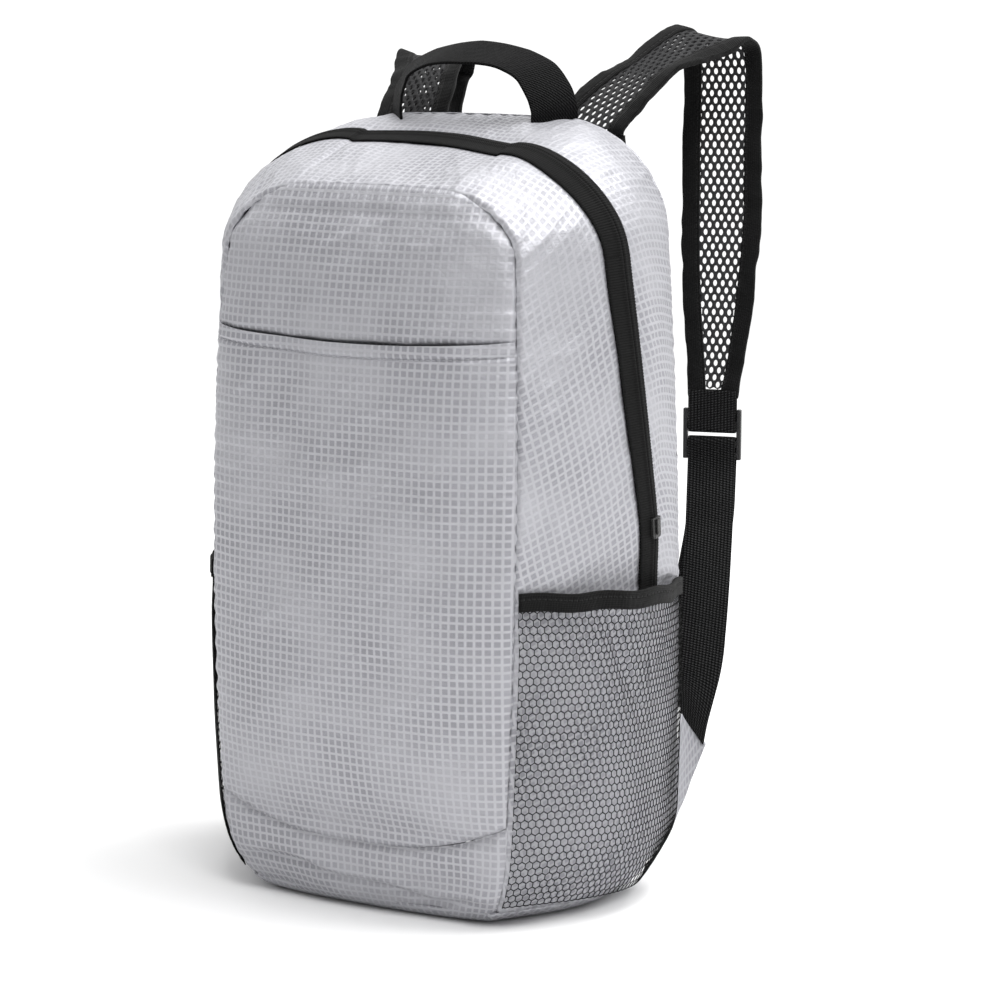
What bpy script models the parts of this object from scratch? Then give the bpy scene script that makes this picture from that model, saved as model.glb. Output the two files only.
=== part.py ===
"""Ultralight backpack, standing by itself.

Thin cloth panels sewn round a hollow body, a coil zip over the top, a slip pocket in front, a net
pocket on each side, a grab handle, and two see-through shoulder straps with their ladder locks and
adjusting webbing.

Metres, +Z up. The slip pocket faces -Y and the wearer's back is at +Y. The origin is on the floor,
in the middle of the flat base.
"""

import math

import bmesh
import bpy
from mathutils import Vector

# Cloth, net and trim
CLOTH = 0.0012
NET = 0.0013
SEAM_GAP = 0.0003
STITCH_ROOM = CLOTH + SEAM_GAP

# Front panel, inside the arched front seam
FRONT_HALF_LOW = 0.0860
FRONT_HALF_HIGH = 0.0905
FRONT_SIDE_BOW = 0.0060
FRONT_TOP = 0.3840
FRONT_CORNER_WIDE = 0.0430
FRONT_CORNER_TALL = 0.0350
FRONT_DEPTH_LOW = 0.0740
FRONT_DEPTH_HIGH = 0.0640
FRONT_DEPTH_BOW = 0.0050
FRONT_CROWN = 0.0180
FRONT_CROWN_LEAST = 0.30
BASE_SEAM_MIDDLE = 0.0400
BASE_SEAM_END = 0.0585
BASE_SEAM_POWER = 2.5

# Slip pocket
HEM_HEIGHT = 0.3120
HEM_DIP = 0.0040
SLIP_DEPTH = 0.0105
SLIP_MOUTH_BLEND = 0.0240

# Back panel
BACK_HALF_LOW = 0.1200
BACK_HALF_HIGH = 0.1150
BACK_SIDE_BOW = 0.0055
BACK_TOP = 0.4160
BACK_CORNER = 0.0610
BACK_DEPTH = 0.0550
BACK_CROWN = 0.0050

# Gusset, the band between the two seams
TOP_RISE = 0.0045
SIDE_BULGE = 0.0180
TOP_BULGE = 0.0010

# Rounded base
BASE_ROUNDING = 0.0480
BASE_SHARE_WIDE = 0.79
BASE_SHARE_DEEP = 0.74
BASE_CORNER_PULL = 0.10
BASE_MIDDLE = -0.0080
SIDE_SEAM_HEIGHT = 0.0080

# Zip
ZIP_WIDTH = 0.0180
ZIP_END_HEIGHT = 0.1520
ZIP_END_ROOM = 0.0025
ZIP_END_CLOSING = 0.0080
ZIP_END_CLEARING = 0.0140
SHORTEST_ROW = 0.0010
SLIDER_LONG = 0.0110
SLIDER_WIDE = 0.0080
SLIDER_TALL = 0.0032
SLIDER_HEIGHT = 0.2080
SLIDER_SEAT = 0.0006
SLIDER_TAPER = 0.70
SLIDER_SOFTNESS = 0.28

# Side pockets
MOUTH_FRONT = 0.1830
MOUTH_BACK = 0.1740
BINDING_TALL = 0.0100
BINDING_THICK = 0.0016
POCKET_SLACK = 0.0045
SHELL_RECESS = 0.0110
RECESS_BLEND = 0.0450
RECESS_START = 0.80
POCKET_LOW = 0.0120
POCKET_STRAND = 0.0034
POCKET_MARGIN = 0.0020
POCKET_CLEAR = 0.0010

# Webbing, handle and straps
WEBBING_WIDE = 0.0270
WEBBING_THICK = 0.0014
HANDLE_HALF_SPAN = 0.0495
HANDLE_RISE = 0.0370
HANDLE_FOOT_TURN = 50.0
HANDLE_SETBACK = 0.0100
HANDLE_SEAT = 0.0007
HANDLE_LEAN = 0.0060
STRAP_WIDE = 0.0450
STRAP_THICK = 0.0032
STRAP_STRAND = 0.0040
STRAP_BINDING = 0.0100
STRAP_BINDING_THICK = 0.0038
STRAP_BINDING_GAP = 0.0014
STRAP_TAPER_START = 0.68
STRAP_TAPER_LEAVES = 0.30
STRAP_ROOT_DROP = 0.0160
STRAP_ROOT_OUT = 0.0630
STRAP_APEX = 0.4600
STRAP_REACH = 0.0900
STRAP_END_HEIGHT = 0.2620
STRAP_END_OUT = 0.1065
STRAP_END_BACK = 0.78
STRAP_TURN = 14.0

# Ladder lock
LOCK_RAIL = 0.0026
LOCK_SIDE_CLEAR = 0.0004
LOCK_TALL = 0.0285
LOCK_THICK = 0.0024
LOCK_BAR = 0.0040
LOCK_GAP = 0.0020
LOCK_DROP = 0.0065
LOCK_NOTCH = 0.0075
LOOP_START = 0.0014
TURN_ROOM = 0.0007

# Adjusting webbing and its tab
TAIL_LONG = 0.1400
TAIL_SHIFT = 0.0060
TAIL_SHIFT_FROM = 0.15
TAIL_SHIFT_OVER = 0.45
LAYER_ROOM = 0.0010
LAYERS_MEET = 0.25
WEBBING_BOW = 0.0040
TAB_TOP = 0.0840
TAB_LOW = 0.0300
TAB_OUT = 0.1205
TAB_BACK = 0.0760
TAB_SLANT = 0.0090
TAB_NARROW = 0.50
TAB_NARROW_OVER = 0.28

# Mesh counts
ARCH_STEPS = 34
CORNER_CROWDING = 1.15
PANEL_COLUMNS = 10
FRONT_ROWS = 16
BACK_ROWS = 12
SLIP_ROWS = 10
STRAP_STEPS = 30
HANDLE_STEPS = 22
WEBBING_STEPS = 14
TAIL_STEPS = 10
TURN_STEPS = 6
BINDING_STEPS = 12
POCKET_CELLS = (4, 6)
STRAP_CELLS = (2, 13)
GUSSET_STEPS = 5
REAR_STEPS = 3

# Where the sides of an arched seam end along it, and where its rounded corners end
SIDE_PATH = 0.50
CORNER_PATH = 0.16

# The zip's place across the gusset, as a share from front seam to back seam.
# Columns: place along the arch (1 at the right foot, 0 at the top, -1 at the left foot), share
ZIP_PLACES = (
    (1.00, 0.74),
    (0.76, 0.70),
    (0.66, 0.57),
    (0.51, 0.455),
    (0.38, 0.385),
    (0.16, 0.465),
    (0.00, 0.61),
    (-0.29, 0.59),
    (-0.57, 0.54),
    (-0.76, 0.66),
    (-1.00, 0.72),
)

# Dents and folds of the front cloth, each a soft valley along a line.
# Columns: across from, height from, across to, height to (shares), width share, depth in metres
FRONT_FOLDS = (
    (-0.95, 0.93, -0.30, 0.84, 0.10, 0.0024),
    (0.95, 0.94, 0.35, 0.80, 0.11, 0.0030),
    (0.98, 0.55, 0.40, 0.42, 0.12, 0.0018),
    (-0.98, 0.40, -0.55, 0.20, 0.12, 0.0020),
    (0.98, 0.22, 0.45, 0.06, 0.12, 0.0022),
    (-0.45, 0.70, -0.62, 0.30, 0.22, 0.0040),
)

# Folds of the gusset, running back from the front seam.
# Columns: arch place from, share from, arch place to, share to, width, depth in metres
SIDE_FOLDS = (
    (0.88, 0.05, 0.74, 0.55, 0.055, 0.0030),
    (0.72, 0.04, 0.62, 0.50, 0.045, 0.0026),
    (0.57, 0.05, 0.50, 0.55, 0.045, 0.0024),
    (0.32, 0.05, 0.25, 0.60, 0.070, 0.0030),
    (0.67, 0.75, 0.60, 1.00, 0.035, 0.0024),
    (0.08, 0.05, 0.02, 0.55, 0.050, 0.0016),
)

# Shoulder strap routes, from the root at the top of the back to the ladder lock.
# Columns: outward share of the way from root to lock, backward share of the reach, upward share of the
# way from the strap's end to its apex
RIGHT_ROUTE = (
    (0.31, 0.33, 0.893),
    (0.60, 0.61, 0.965),
    (0.78, 0.80, 0.996),
    (0.87, 0.92, 0.985),
    (0.90, 0.970, 0.925),
    (0.92, 0.955, 0.720),
    (0.95, 0.92, 0.440),
    (0.98, 0.84, 0.130),
)
LEFT_ROUTE = (
    (0.05, 0.28, 0.880),
    (0.14, 0.45, 0.925),
    (0.24, 0.60, 0.942),
    (0.33, 0.71, 0.925),
    (0.39, 0.77, 0.870),
    (0.54, 0.82, 0.660),
    (0.76, 0.84, 0.440),
    (0.94, 0.82, 0.130),
)
LEFT_ROOT_SHARE = 0.82

# Slope across each strap, positive where its outer edge is the lower one.
# Columns: share of the strap's length, slope
RIGHT_SLOPE = (
    (1.00, 0.0),
    (0.52, 0.0),
    (0.36, 0.20),
    (0.20, -0.17),
    (0.04, 0.0),
)
LEFT_SLOPE = (
    (1.00, 0.0),
    (0.50, 0.0),
    (0.30, 0.16),
    (0.16, 0.12),
    (0.04, 0.0),
)

# Grab handle, half of it from foot to crown.
# Columns: outward share of the half span, upward share of the rise, forward lean share, roll in degrees
HANDLE_SHAPE = (
    (1.00, 0.00, 0.00, 0.0),
    (1.00, 0.22, 0.10, 4.0),
    (0.93, 0.48, 0.25, 10.0),
    (0.76, 0.76, 0.45, 18.0),
    (0.44, 0.94, 0.60, 22.0),
    (0.00, 1.00, 0.65, 25.0),
)
# Corners of a six-sided net cell that stands on a point, as shares of its width and of the row pitch
HEX_CORNERS = (
    (0.5, -1 / 3), (0.5, 1 / 3), (0.0, 2 / 3), (-0.5, 1 / 3), (-0.5, -1 / 3), (0.0, -2 / 3),
)

# Colours from the photograph, as linear shares of red, green and blue, with roughness
SILVER = ((0.56, 0.56, 0.60), 0.38)
BLACK_WEBBING = ((0.012, 0.012, 0.013), 0.75)
BLACK_NET = ((0.016, 0.016, 0.017), 0.70)
BLACK_TRIM = ((0.020, 0.020, 0.021), 0.62)
BLACK_PLASTIC = ((0.012, 0.012, 0.013), 0.35)


def clear_scene():
    for obj in list(bpy.data.objects):
        bpy.data.objects.remove(obj, do_unlink=True)


def make_collection(name, hidden=False):
    collection = bpy.data.collections.new(name)
    bpy.context.scene.collection.children.link(collection)
    collection.hide_render = hidden
    return collection


def make_material(name, look):
    colour, roughness = look
    material = bpy.data.materials.new(name)
    material.use_nodes = True
    shader = material.node_tree.nodes["Principled BSDF"]
    shader.inputs["Base Color"].default_value = (*colour, 1.0)
    shader.inputs["Roughness"].default_value = roughness
    shader.inputs["Metallic"].default_value = 0.0
    return material


def mix(a, b, share):
    return a + (b - a) * share


def smooth(x):
    x = min(max(x, 0.0), 1.0)
    return x * x * (3.0 - 2.0 * x)


def read_table(rows, place):
    """The second column's value at a place between two rows of the first, which runs downwards."""
    for (a, first), (b, second) in zip(rows, rows[1:]):
        if b <= place <= a:
            return mix(first, second, smooth((a - place) / (a - b)))
    return rows[0][1] if place > rows[0][0] else rows[-1][1]


def fold_depth(folds, u, v):
    """How far the folds of a table press the cloth in at one place of its panel."""
    depth = 0.0
    for u0, v0, u1, v1, width, deep in folds:
        du, dv = u1 - u0, v1 - v0
        along = ((u - u0) * du + (v - v0) * dv) / (du * du + dv * dv)
        along = min(max(along, 0.0), 1.0)
        away = math.hypot(u - u0 - along * du, v - v0 - along * dv)
        depth += deep * (1.0 - 0.8 * along) * math.exp(-((away / width) ** 2))
    return depth


# Outlines of the two seams


def front_half(z):
    share = min(z / (FRONT_TOP - FRONT_CORNER_TALL), 1.0)
    return mix(FRONT_HALF_LOW, FRONT_HALF_HIGH, share) + FRONT_SIDE_BOW * 4.0 * share * (1.0 - share)


def back_half(z):
    share = min(z / (BACK_TOP - BACK_CORNER), 1.0)
    return mix(BACK_HALF_LOW, BACK_HALF_HIGH, share) + BACK_SIDE_BOW * 4.0 * share * (1.0 - share)


def arch_top(x, top, half, corner_wide, corner_tall):
    """Height of an arched seam over a place x, with its rounded corners."""
    into = min(max((abs(x) - (half - corner_wide)) / corner_wide, 0.0), 1.0)
    crown = TOP_RISE * (1.0 - (x / half) ** 2)
    return top + crown * (1.0 - into) - corner_tall * (1.0 - math.sqrt(1.0 - into * into))


def front_top(x):
    return arch_top(x, FRONT_TOP, FRONT_HALF_HIGH, FRONT_CORNER_WIDE, FRONT_CORNER_TALL)


def back_top(x):
    return arch_top(x, BACK_TOP, BACK_HALF_HIGH, BACK_CORNER, BACK_CORNER)


def front_depth(z):
    share = min(z / FRONT_TOP, 1.0)
    bow = FRONT_DEPTH_BOW * 4.0 * share * (1.0 - share)
    return mix(FRONT_DEPTH_LOW, FRONT_DEPTH_HIGH, share) + bow


def back_depth(x, z):
    """How far back the back panel stands, with its crown."""
    across = x / back_half(z)
    share = min(max(z / BACK_TOP, 0.0), 1.0)
    return BACK_DEPTH + BACK_CROWN * (1.0 - across ** 4) * (1.0 - (2.0 * share - 1.0) ** 4)


def arch_point(place, low, half_of, top_of, half_high, corner_wide, corner_tall, top):
    """A point (x, z) of a seam. Place runs from 1 at the right foot over 0 at the top to -1."""
    side = 1.0 if place >= 0.0 else -1.0
    place = abs(place)
    spring = top - corner_tall
    if place >= SIDE_PATH:
        z = mix(spring, low, (place - SIDE_PATH) / (1.0 - SIDE_PATH))
        return side * half_of(z), z
    if place >= CORNER_PATH:
        turn = (SIDE_PATH - place) / (SIDE_PATH - CORNER_PATH) * math.pi / 2.0
        x = half_high - corner_wide * (1.0 - math.cos(turn))
        return side * x, top_of(x)
    x = (half_high - corner_wide) * place / CORNER_PATH
    return side * x, top_of(x)


def front_arch(place, low):
    x, z = arch_point(
        place, low, front_half, front_top,
        FRONT_HALF_HIGH, FRONT_CORNER_WIDE, FRONT_CORNER_TALL, FRONT_TOP,
    )
    return Vector((x, -front_depth(z), z))


def back_arch(place, low):
    x, z = arch_point(
        place, low, back_half, back_top, BACK_HALF_HIGH, BACK_CORNER, BACK_CORNER, BACK_TOP,
    )
    return Vector((x, BACK_DEPTH, z))


def base_tuck(point):
    """Pulls the walls in over their last stretch above the floor, so that the base is rounded."""
    if point.z >= BASE_ROUNDING:
        return point
    down = 1.0 - max(point.z, 0.0) / BASE_ROUNDING
    pull = 1.0 - math.sqrt(max(1.0 - down * down, 0.0))
    x = point.x
    y = point.y - BASE_MIDDLE
    depth = BACK_DEPTH if y > 0.0 else FRONT_DEPTH_LOW
    corner = BASE_CORNER_PULL * (abs(x) / BACK_HALF_LOW) ** 2 * (y / depth) ** 2
    wide = 1.0 - (1.0 - BASE_SHARE_WIDE + corner) * pull
    deep = 1.0 - (1.0 - BASE_SHARE_DEEP + corner) * pull
    return Vector((x * wide, BASE_MIDDLE + y * deep, point.z))


def mouth_height(share):
    return mix(MOUTH_FRONT, MOUTH_BACK, share)


def side_bulge(z, share):
    """How far the shell's side stands out at its middle, less where the net pocket needs room."""
    recess = smooth((mouth_height(share) + RECESS_BLEND * RECESS_START - z) / RECESS_BLEND)
    return SIDE_BULGE - SHELL_RECESS * recess


def gusset_frame(place, share, low):
    """A point between the seams with no bulge, and the way out from it in the plane of the arch."""
    step = 0.004
    front = front_arch(place, low)
    back = back_arch(place, low)
    ahead = mix(front_arch(place - step, low), back_arch(place - step, low), share)
    behind = mix(front_arch(place + step, low), back_arch(place + step, low), share)
    along = ahead - behind
    out = Vector((along.z, 0.0, -along.x))
    if out.length < 1e-9:
        out = Vector((0.0, 0.0, 1.0))
    return mix(front, back, share), out.normalized()


def gusset_point(place, share, low=SIDE_SEAM_HEIGHT, folds=True):
    point, out = gusset_frame(place, share, low)
    sideways = abs(out.x)
    bulge = sideways * side_bulge(point.z, share) + max(out.z, 0.0) * TOP_BULGE
    arch = math.sin(math.pi * share)
    if folds:
        bulge -= fold_depth(SIDE_FOLDS, abs(place), share) / max(arch, 0.35)
    return base_tuck(point + out * bulge * arch)


def front_point(across, z):
    """A point of the front wall: across runs from -1 to 1 between the side seams."""
    share = min(max((z - BASE_SEAM_MIDDLE) / (FRONT_TOP - BASE_SEAM_MIDDLE), 0.0), 1.0)
    rise = 1.0 - (2.0 * share - 1.0) ** 6
    low = smooth((BASE_SEAM_MIDDLE - z) / BASE_SEAM_MIDDLE)
    height = mix(max(rise, FRONT_CROWN_LEAST), FRONT_CROWN_LEAST, low)
    lift = FRONT_CROWN * (1.0 - across ** 4) * height
    lift -= fold_depth(FRONT_FOLDS, across, share) * (1.0 - across ** 6)
    return base_tuck(Vector((across * front_half(z), -front_depth(z) - lift, z)))


def base_seam(across):
    return mix(BASE_SEAM_END, BASE_SEAM_MIDDLE, 1.0 - abs(across) ** BASE_SEAM_POWER)


# Mesh making


def finish_object(name, mesh_data, look, collection, thickness, offset):
    obj = bpy.data.objects.new(name, mesh_data)
    collection.objects.link(obj)
    obj.data.materials.append(look)
    if thickness > 0.0:
        wall = obj.modifiers.new("wall", "SOLIDIFY")
        wall.thickness = thickness
        wall.offset = offset
        wall.use_rim = True
    obj.data.shade_smooth()
    obj.data.set_sharp_from_angle(angle=math.radians(40.0))
    return obj


def grid_bmesh(columns, rows, place):
    """A grid whose points are placed by a function of two shares, each from 0 to 1."""
    mesh = bmesh.new()
    bmesh.ops.create_grid(mesh, x_segments=columns, y_segments=rows, size=1.0)
    for vertex in mesh.verts:
        vertex.co = place(vertex.co.x * 0.5 + 0.5, vertex.co.y * 0.5 + 0.5)
    return mesh


def to_mesh(name, mesh):
    data = bpy.data.meshes.new(name)
    mesh.normal_update()
    mesh.to_mesh(data)
    mesh.free()
    return data


def make_sheet(name, columns, rows, place, thickness, look, collection, offset=1.0, flip=False):
    """A cloth panel: a placed grid with a wall thickness."""
    mesh = grid_bmesh(columns, rows, place)
    if flip:
        bmesh.ops.reverse_faces(mesh, faces=mesh.faces)
    return finish_object(name, to_mesh(name, mesh), look, collection, thickness, offset)


def hex_cells(columns, rows, wide, tall):
    """Six-sided cells, corner up, that cover a flat rectangle and reach past its edges."""
    mesh = bmesh.new()
    for row in range(-1, rows + 1):
        for column in range(-1, columns + 1):
            shift = 0.5 if row % 2 else 0.0
            x = (column + 0.5 + shift) * wide
            y = (row + 0.5) * tall
            corners = [mesh.verts.new((x + px * wide, y + py * tall, 0.0)) for px, py in HEX_CORNERS]
            mesh.faces.new(corners)
    bmesh.ops.remove_doubles(mesh, verts=mesh.verts, dist=wide * 0.01)
    return mesh


def trim_to_rectangle(mesh, width, height):
    for spot, outward in (
        ((0.0, 0.0, 0.0), (-1.0, 0.0, 0.0)),
        ((width, 0.0, 0.0), (1.0, 0.0, 0.0)),
        ((0.0, 0.0, 0.0), (0.0, -1.0, 0.0)),
        ((0.0, height, 0.0), (0.0, 1.0, 0.0)),
    ):
        everything = mesh.verts[:] + mesh.edges[:] + mesh.faces[:]
        bmesh.ops.bisect_plane(
            mesh, geom=everything, dist=1e-7, plane_co=spot, plane_no=outward, clear_outer=True,
        )


def make_net(name, cells, strand, size, place, wall, look, collection, outward):
    """A net of six-sided gaps on a placed surface, with a strand all round its edge.

    The wall is its thickness and its offset, as a Solidify modifier takes them, and outward is the way
    that its outer face looks.
    """
    columns, rows = cells
    width, height = size
    thickness, offset = wall
    mesh = hex_cells(columns, rows, width / columns, height / rows)
    trim_to_rectangle(mesh, width, height)
    gaps = mesh.faces[:]
    bmesh.ops.inset_individual(mesh, faces=gaps, thickness=strand * 0.5, use_even_offset=True)
    bmesh.ops.delete(mesh, geom=gaps, context="FACES")
    for vertex in mesh.verts:
        vertex.co = place(vertex.co.x / width, vertex.co.y / height)
    bmesh.ops.recalc_face_normals(mesh, faces=mesh.faces)
    mesh.normal_update()
    if sum(face.normal.dot(outward) for face in mesh.faces) < 0.0:
        bmesh.ops.reverse_faces(mesh, faces=mesh.faces)
    return finish_object(name, to_mesh(name, mesh), look, collection, thickness, offset)


# Body panels


def build_front(looks, collection):
    def panel(u, v):
        across = mix(-1.0, 1.0, u)
        edge = 1.0 - SEAM_GAP / FRONT_HALF_LOW
        across *= edge
        low = base_seam(across) + SEAM_GAP
        high = front_top(across * FRONT_HALF_HIGH) - SEAM_GAP
        z = mix(low, high, v)
        point = front_point(across, z)
        hem = hem_height(across)
        behind = smooth((hem + SLIP_MOUTH_BLEND - z) / SLIP_MOUTH_BLEND)
        foot = smooth((z - low) / (4.0 * SLIP_DEPTH))
        point.y += SLIP_DEPTH * (1.0 - across ** 4) * behind * foot
        return point

    return make_sheet(
        "front_panel", PANEL_COLUMNS, FRONT_ROWS, panel, CLOTH, looks["silver"], collection, -1.0
    )


def hem_height(across):
    return HEM_HEIGHT - HEM_DIP * (1.0 - across ** 2)


def build_slip_pocket(looks, collection):
    def panel(u, v):
        across = mix(-1.0, 1.0, u) * (1.0 - SEAM_GAP / FRONT_HALF_LOW)
        z = mix(base_seam(across) + SEAM_GAP, hem_height(across), v)
        point = front_point(across, z)
        point.y -= STITCH_ROOM
        return point

    return make_sheet(
        "front_pocket", PANEL_COLUMNS, SLIP_ROWS, panel, CLOTH, looks["silver"], collection, -1.0
    )


def gusset_width(place):
    return (front_arch(place, SIDE_SEAM_HEIGHT) - back_arch(place, SIDE_SEAM_HEIGHT)).length


def zip_share(place, side):
    """Share across the gusset of one edge of the zip: side is -1 for the front edge, 1 for the rear."""
    return read_table(ZIP_PLACES, place) + side * 0.5 * ZIP_WIDTH / gusset_width(place)


def zip_end():
    """Place along the arch where the zip ends, at its height on the back seam."""
    spring = BACK_TOP - BACK_CORNER
    return mix(SIDE_PATH, 1.0, (spring - ZIP_END_HEIGHT) / (spring - SIDE_SEAM_HEIGHT))


def arch_places():
    """Places of the gusset's mesh rows: crowded into the corners, with two rows at each zip end."""
    ends = [side * (zip_end() + room) for side in (-1.0, 1.0) for room in (0.0, ZIP_END_CLOSING)]
    places = []
    for step in range(ARCH_STEPS + 1):
        turn = 1.0 - 2.0 * step / ARCH_STEPS
        place = math.copysign(abs(turn) ** CORNER_CROWDING, turn)
        if min(abs(place - end) for end in ends) > ZIP_END_CLEARING:
            places.append(place)
    return sorted(places + ends, reverse=True)


def zip_places():
    """Places of the tape's mesh rows, which stop a little above the strips' last rows beside it."""
    last = zip_end() - ZIP_END_ROOM
    inner = [place for place in arch_places() if abs(place) < zip_end() - ZIP_END_ROOM - SHORTEST_ROW]
    return [last] + inner + [-last]


def build_gusset(looks, collection):
    end = SIDE_SEAM_HEIGHT + SEAM_GAP

    def strip(places, first, last):
        def panel(u, v):
            place = places[round(v * (len(places) - 1))]
            return gusset_point(place, mix(first(place), last(place), u), end)

        return panel

    def front_edge(place):
        return (STITCH_ROOM + SEAM_GAP) / gusset_width(place)

    def back_edge(place):
        return 1.0 - (STITCH_ROOM + SEAM_GAP) / gusset_width(place)

    def zip_edge(side, room):
        def share(place):
            return zip_share(place, side) + side * room / gusset_width(place)

        return share

    def cloth_edge(side):
        def share(place):
            if abs(place) > zip_end() + SHORTEST_ROW:
                return read_table(ZIP_PLACES, place) + side * SEAM_GAP / gusset_width(place)
            return zip_edge(side, SEAM_GAP)(place)

        return share

    rows = arch_places()
    tape_rows = zip_places()
    make_sheet(
        "gusset_front", GUSSET_STEPS, len(rows) - 1, strip(rows, front_edge, cloth_edge(-1)),
        CLOTH, looks["silver"], collection, -1.0,
    )
    make_sheet(
        "gusset_rear", REAR_STEPS, len(rows) - 1, strip(rows, cloth_edge(1), back_edge),
        CLOTH, looks["silver"], collection, -1.0,
    )
    make_sheet(
        "zip_tape", 2, len(tape_rows) - 1, strip(tape_rows, zip_edge(-1, 0.0), zip_edge(1, 0.0)),
        CLOTH, looks["trim"], collection, -1.0,
    )


def zip_row(step, side):
    """A point of the tape on one of its mesh rows: side is -1 at the front edge, 1 at the rear."""
    place = zip_places()[step]
    return gusset_point(place, zip_share(place, side), SIDE_SEAM_HEIGHT + SEAM_GAP)


def build_slider(looks, collection):
    """Small slider lying on the tape low on the right side."""
    right_rows = range(len(zip_places()) // 2)
    step = min(right_rows, key=lambda row: abs(zip_row(row, 0.0).z - SLIDER_HEIGHT))
    centre = 0.5 * (zip_row(step, 0.0) + zip_row(step + 1, 0.0))
    along = (zip_row(step + 1, 0.0) - zip_row(step, 0.0)).normalized()
    across = (zip_row(step, 1.0) - zip_row(step, -1.0)).normalized()
    out = across.cross(along).normalized()
    if out.x < 0.0:
        out.negate()
    across = along.cross(out)
    mesh = bmesh.new()
    bmesh.ops.create_cube(mesh, size=1.0)
    for vertex in mesh.verts:
        taper = SLIDER_TAPER if vertex.co.y < 0.0 else 1.0
        wide = vertex.co.x * SLIDER_WIDE * taper
        tall = (vertex.co.z + 0.5) * SLIDER_TALL + SLIDER_SEAT
        vertex.co = centre + across * wide + along * (vertex.co.y * SLIDER_LONG) + out * tall
    slider = finish_object("zip_slider", to_mesh("zip_slider", mesh), looks["plastic"], collection, 0.0, 0.0)
    soft = slider.modifiers.new("soft_edges", "BEVEL")
    soft.width = SLIDER_TALL * SLIDER_SOFTNESS
    soft.segments = 2
    return slider


def build_back(looks, collection):
    def panel(u, v):
        across = mix(-1.0, 1.0, u) * (1.0 - SEAM_GAP / BACK_HALF_LOW)
        low = SIDE_SEAM_HEIGHT + SEAM_GAP
        z = mix(low, back_top(across * BACK_HALF_HIGH) - SEAM_GAP, v)
        x = across * back_half(z)
        return base_tuck(Vector((-x, back_depth(x, z), z)))

    return make_sheet(
        "back_panel", PANEL_COLUMNS, BACK_ROWS, panel, CLOTH, looks["silver"], collection, -1.0
    )


def perimeter(turn, z):
    """A point of the walls at one height, for a share of the way round from the front left corner."""
    part = (turn % 1.0) * 4.0
    if part < 1.0:
        across = mix(-1.0, 1.0, part)
        return front_point(across, z)
    if part < 2.0:
        return wall_side(1.0, part - 1.0, z)
    if part < 3.0:
        across = mix(1.0, -1.0, part - 2.0)
        return base_tuck(Vector((across * back_half(z), BACK_DEPTH, z)))
    return wall_side(-1.0, 4.0 - part, z)


def wall_side(side, share, z):
    front = Vector((side * front_half(z), -front_depth(z), z))
    back = Vector((side * back_half(z), BACK_DEPTH, z))
    bulge = side_bulge(z, share) * math.sin(math.pi * share)
    return base_tuck(mix(front, back, share) + Vector((side * bulge, 0.0, 0.0)))


def build_bottom(looks, collection):
    """Flat base with a turned-up rim, and a front that rises to the front panel's seam."""
    top = SIDE_SEAM_HEIGHT - SEAM_GAP - 0.5 * CLOTH
    rings = (top, top * 0.40, 0.0)
    inner = (0.5, 0.0)
    middle = Vector((0.0, BASE_MIDDLE, 0.0))

    def disc(u, v):
        row = round(v * (len(rings) + len(inner) - 1))
        if row < len(rings):
            return perimeter(u, rings[row])
        edge = perimeter(u, 0.0)
        return middle + (edge - middle) * inner[row - len(rings)]

    mesh = grid_bmesh(4 * PANEL_COLUMNS, len(rings) + len(inner) - 1, disc)

    def rise(u, v):
        across = mix(-1.0, 1.0, u)
        z = mix(top, base_seam(across) - SEAM_GAP, v)
        return front_point(across, z)

    turn_up = grid_bmesh(PANEL_COLUMNS, 4, rise)
    turn_up_data = to_mesh("turn_up", turn_up)
    mesh.from_mesh(turn_up_data)
    bpy.data.meshes.remove(turn_up_data)
    bmesh.ops.remove_doubles(mesh, verts=mesh.verts, dist=0.00002)
    bmesh.ops.recalc_face_normals(mesh, faces=mesh.faces)
    lowest = min(mesh.faces, key=lambda face: face.calc_center_median().z)
    if lowest.normal.z > 0.0:
        bmesh.ops.reverse_faces(mesh, faces=mesh.faces)
    return finish_object(
        "bottom_panel", to_mesh("bottom_panel", mesh), looks["silver"], collection, CLOTH, -1.0
    )


# Net side pockets


def pocket_point(side, share, z, out):
    """A point of the net, which stands clear of the shell and is slack at its middle."""
    front = Vector((side * front_half(z), -front_depth(z), z))
    back = Vector((side * back_half(z), BACK_DEPTH, z))
    bulge = (SIDE_BULGE + POCKET_SLACK) * math.sin(math.pi * share)
    point = mix(front, back, share) + Vector((side * (bulge + POCKET_CLEAR + out), 0.0, 0.0))
    return base_tuck(point)


def build_pockets(looks, collection):
    for side, word in ((-1.0, "left"), (1.0, "right")):
        def spread(u):
            margin = POCKET_MARGIN / gusset_width(1.0)
            return mix(margin, 1.0 - margin, u)

        def net(u, v):
            share = spread(u)
            z = mix(POCKET_LOW, mouth_height(share) - BINDING_TALL - SEAM_GAP, v)
            return pocket_point(side, share, z, 0.0)

        def binding(u, v):
            share = spread(u)
            z = mouth_height(share) - BINDING_TALL * (1.0 - v)
            return pocket_point(side, share, z, 0.0)

        size = (gusset_width(1.0), MOUTH_BACK - POCKET_LOW)
        make_net(
            "mesh_pocket_" + word, POCKET_CELLS, POCKET_STRAND, size, net, (NET, 1.0), looks["net"],
            collection, Vector((side, 0.0, 0.0)),
        )
        make_sheet(
            "pocket_binding_" + word, BINDING_STEPS, 1, binding, BINDING_THICK, looks["trim"],
            collection, 1.0, flip=side < 0.0,
        )


# Ribbons: handle, straps and webbing


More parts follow.
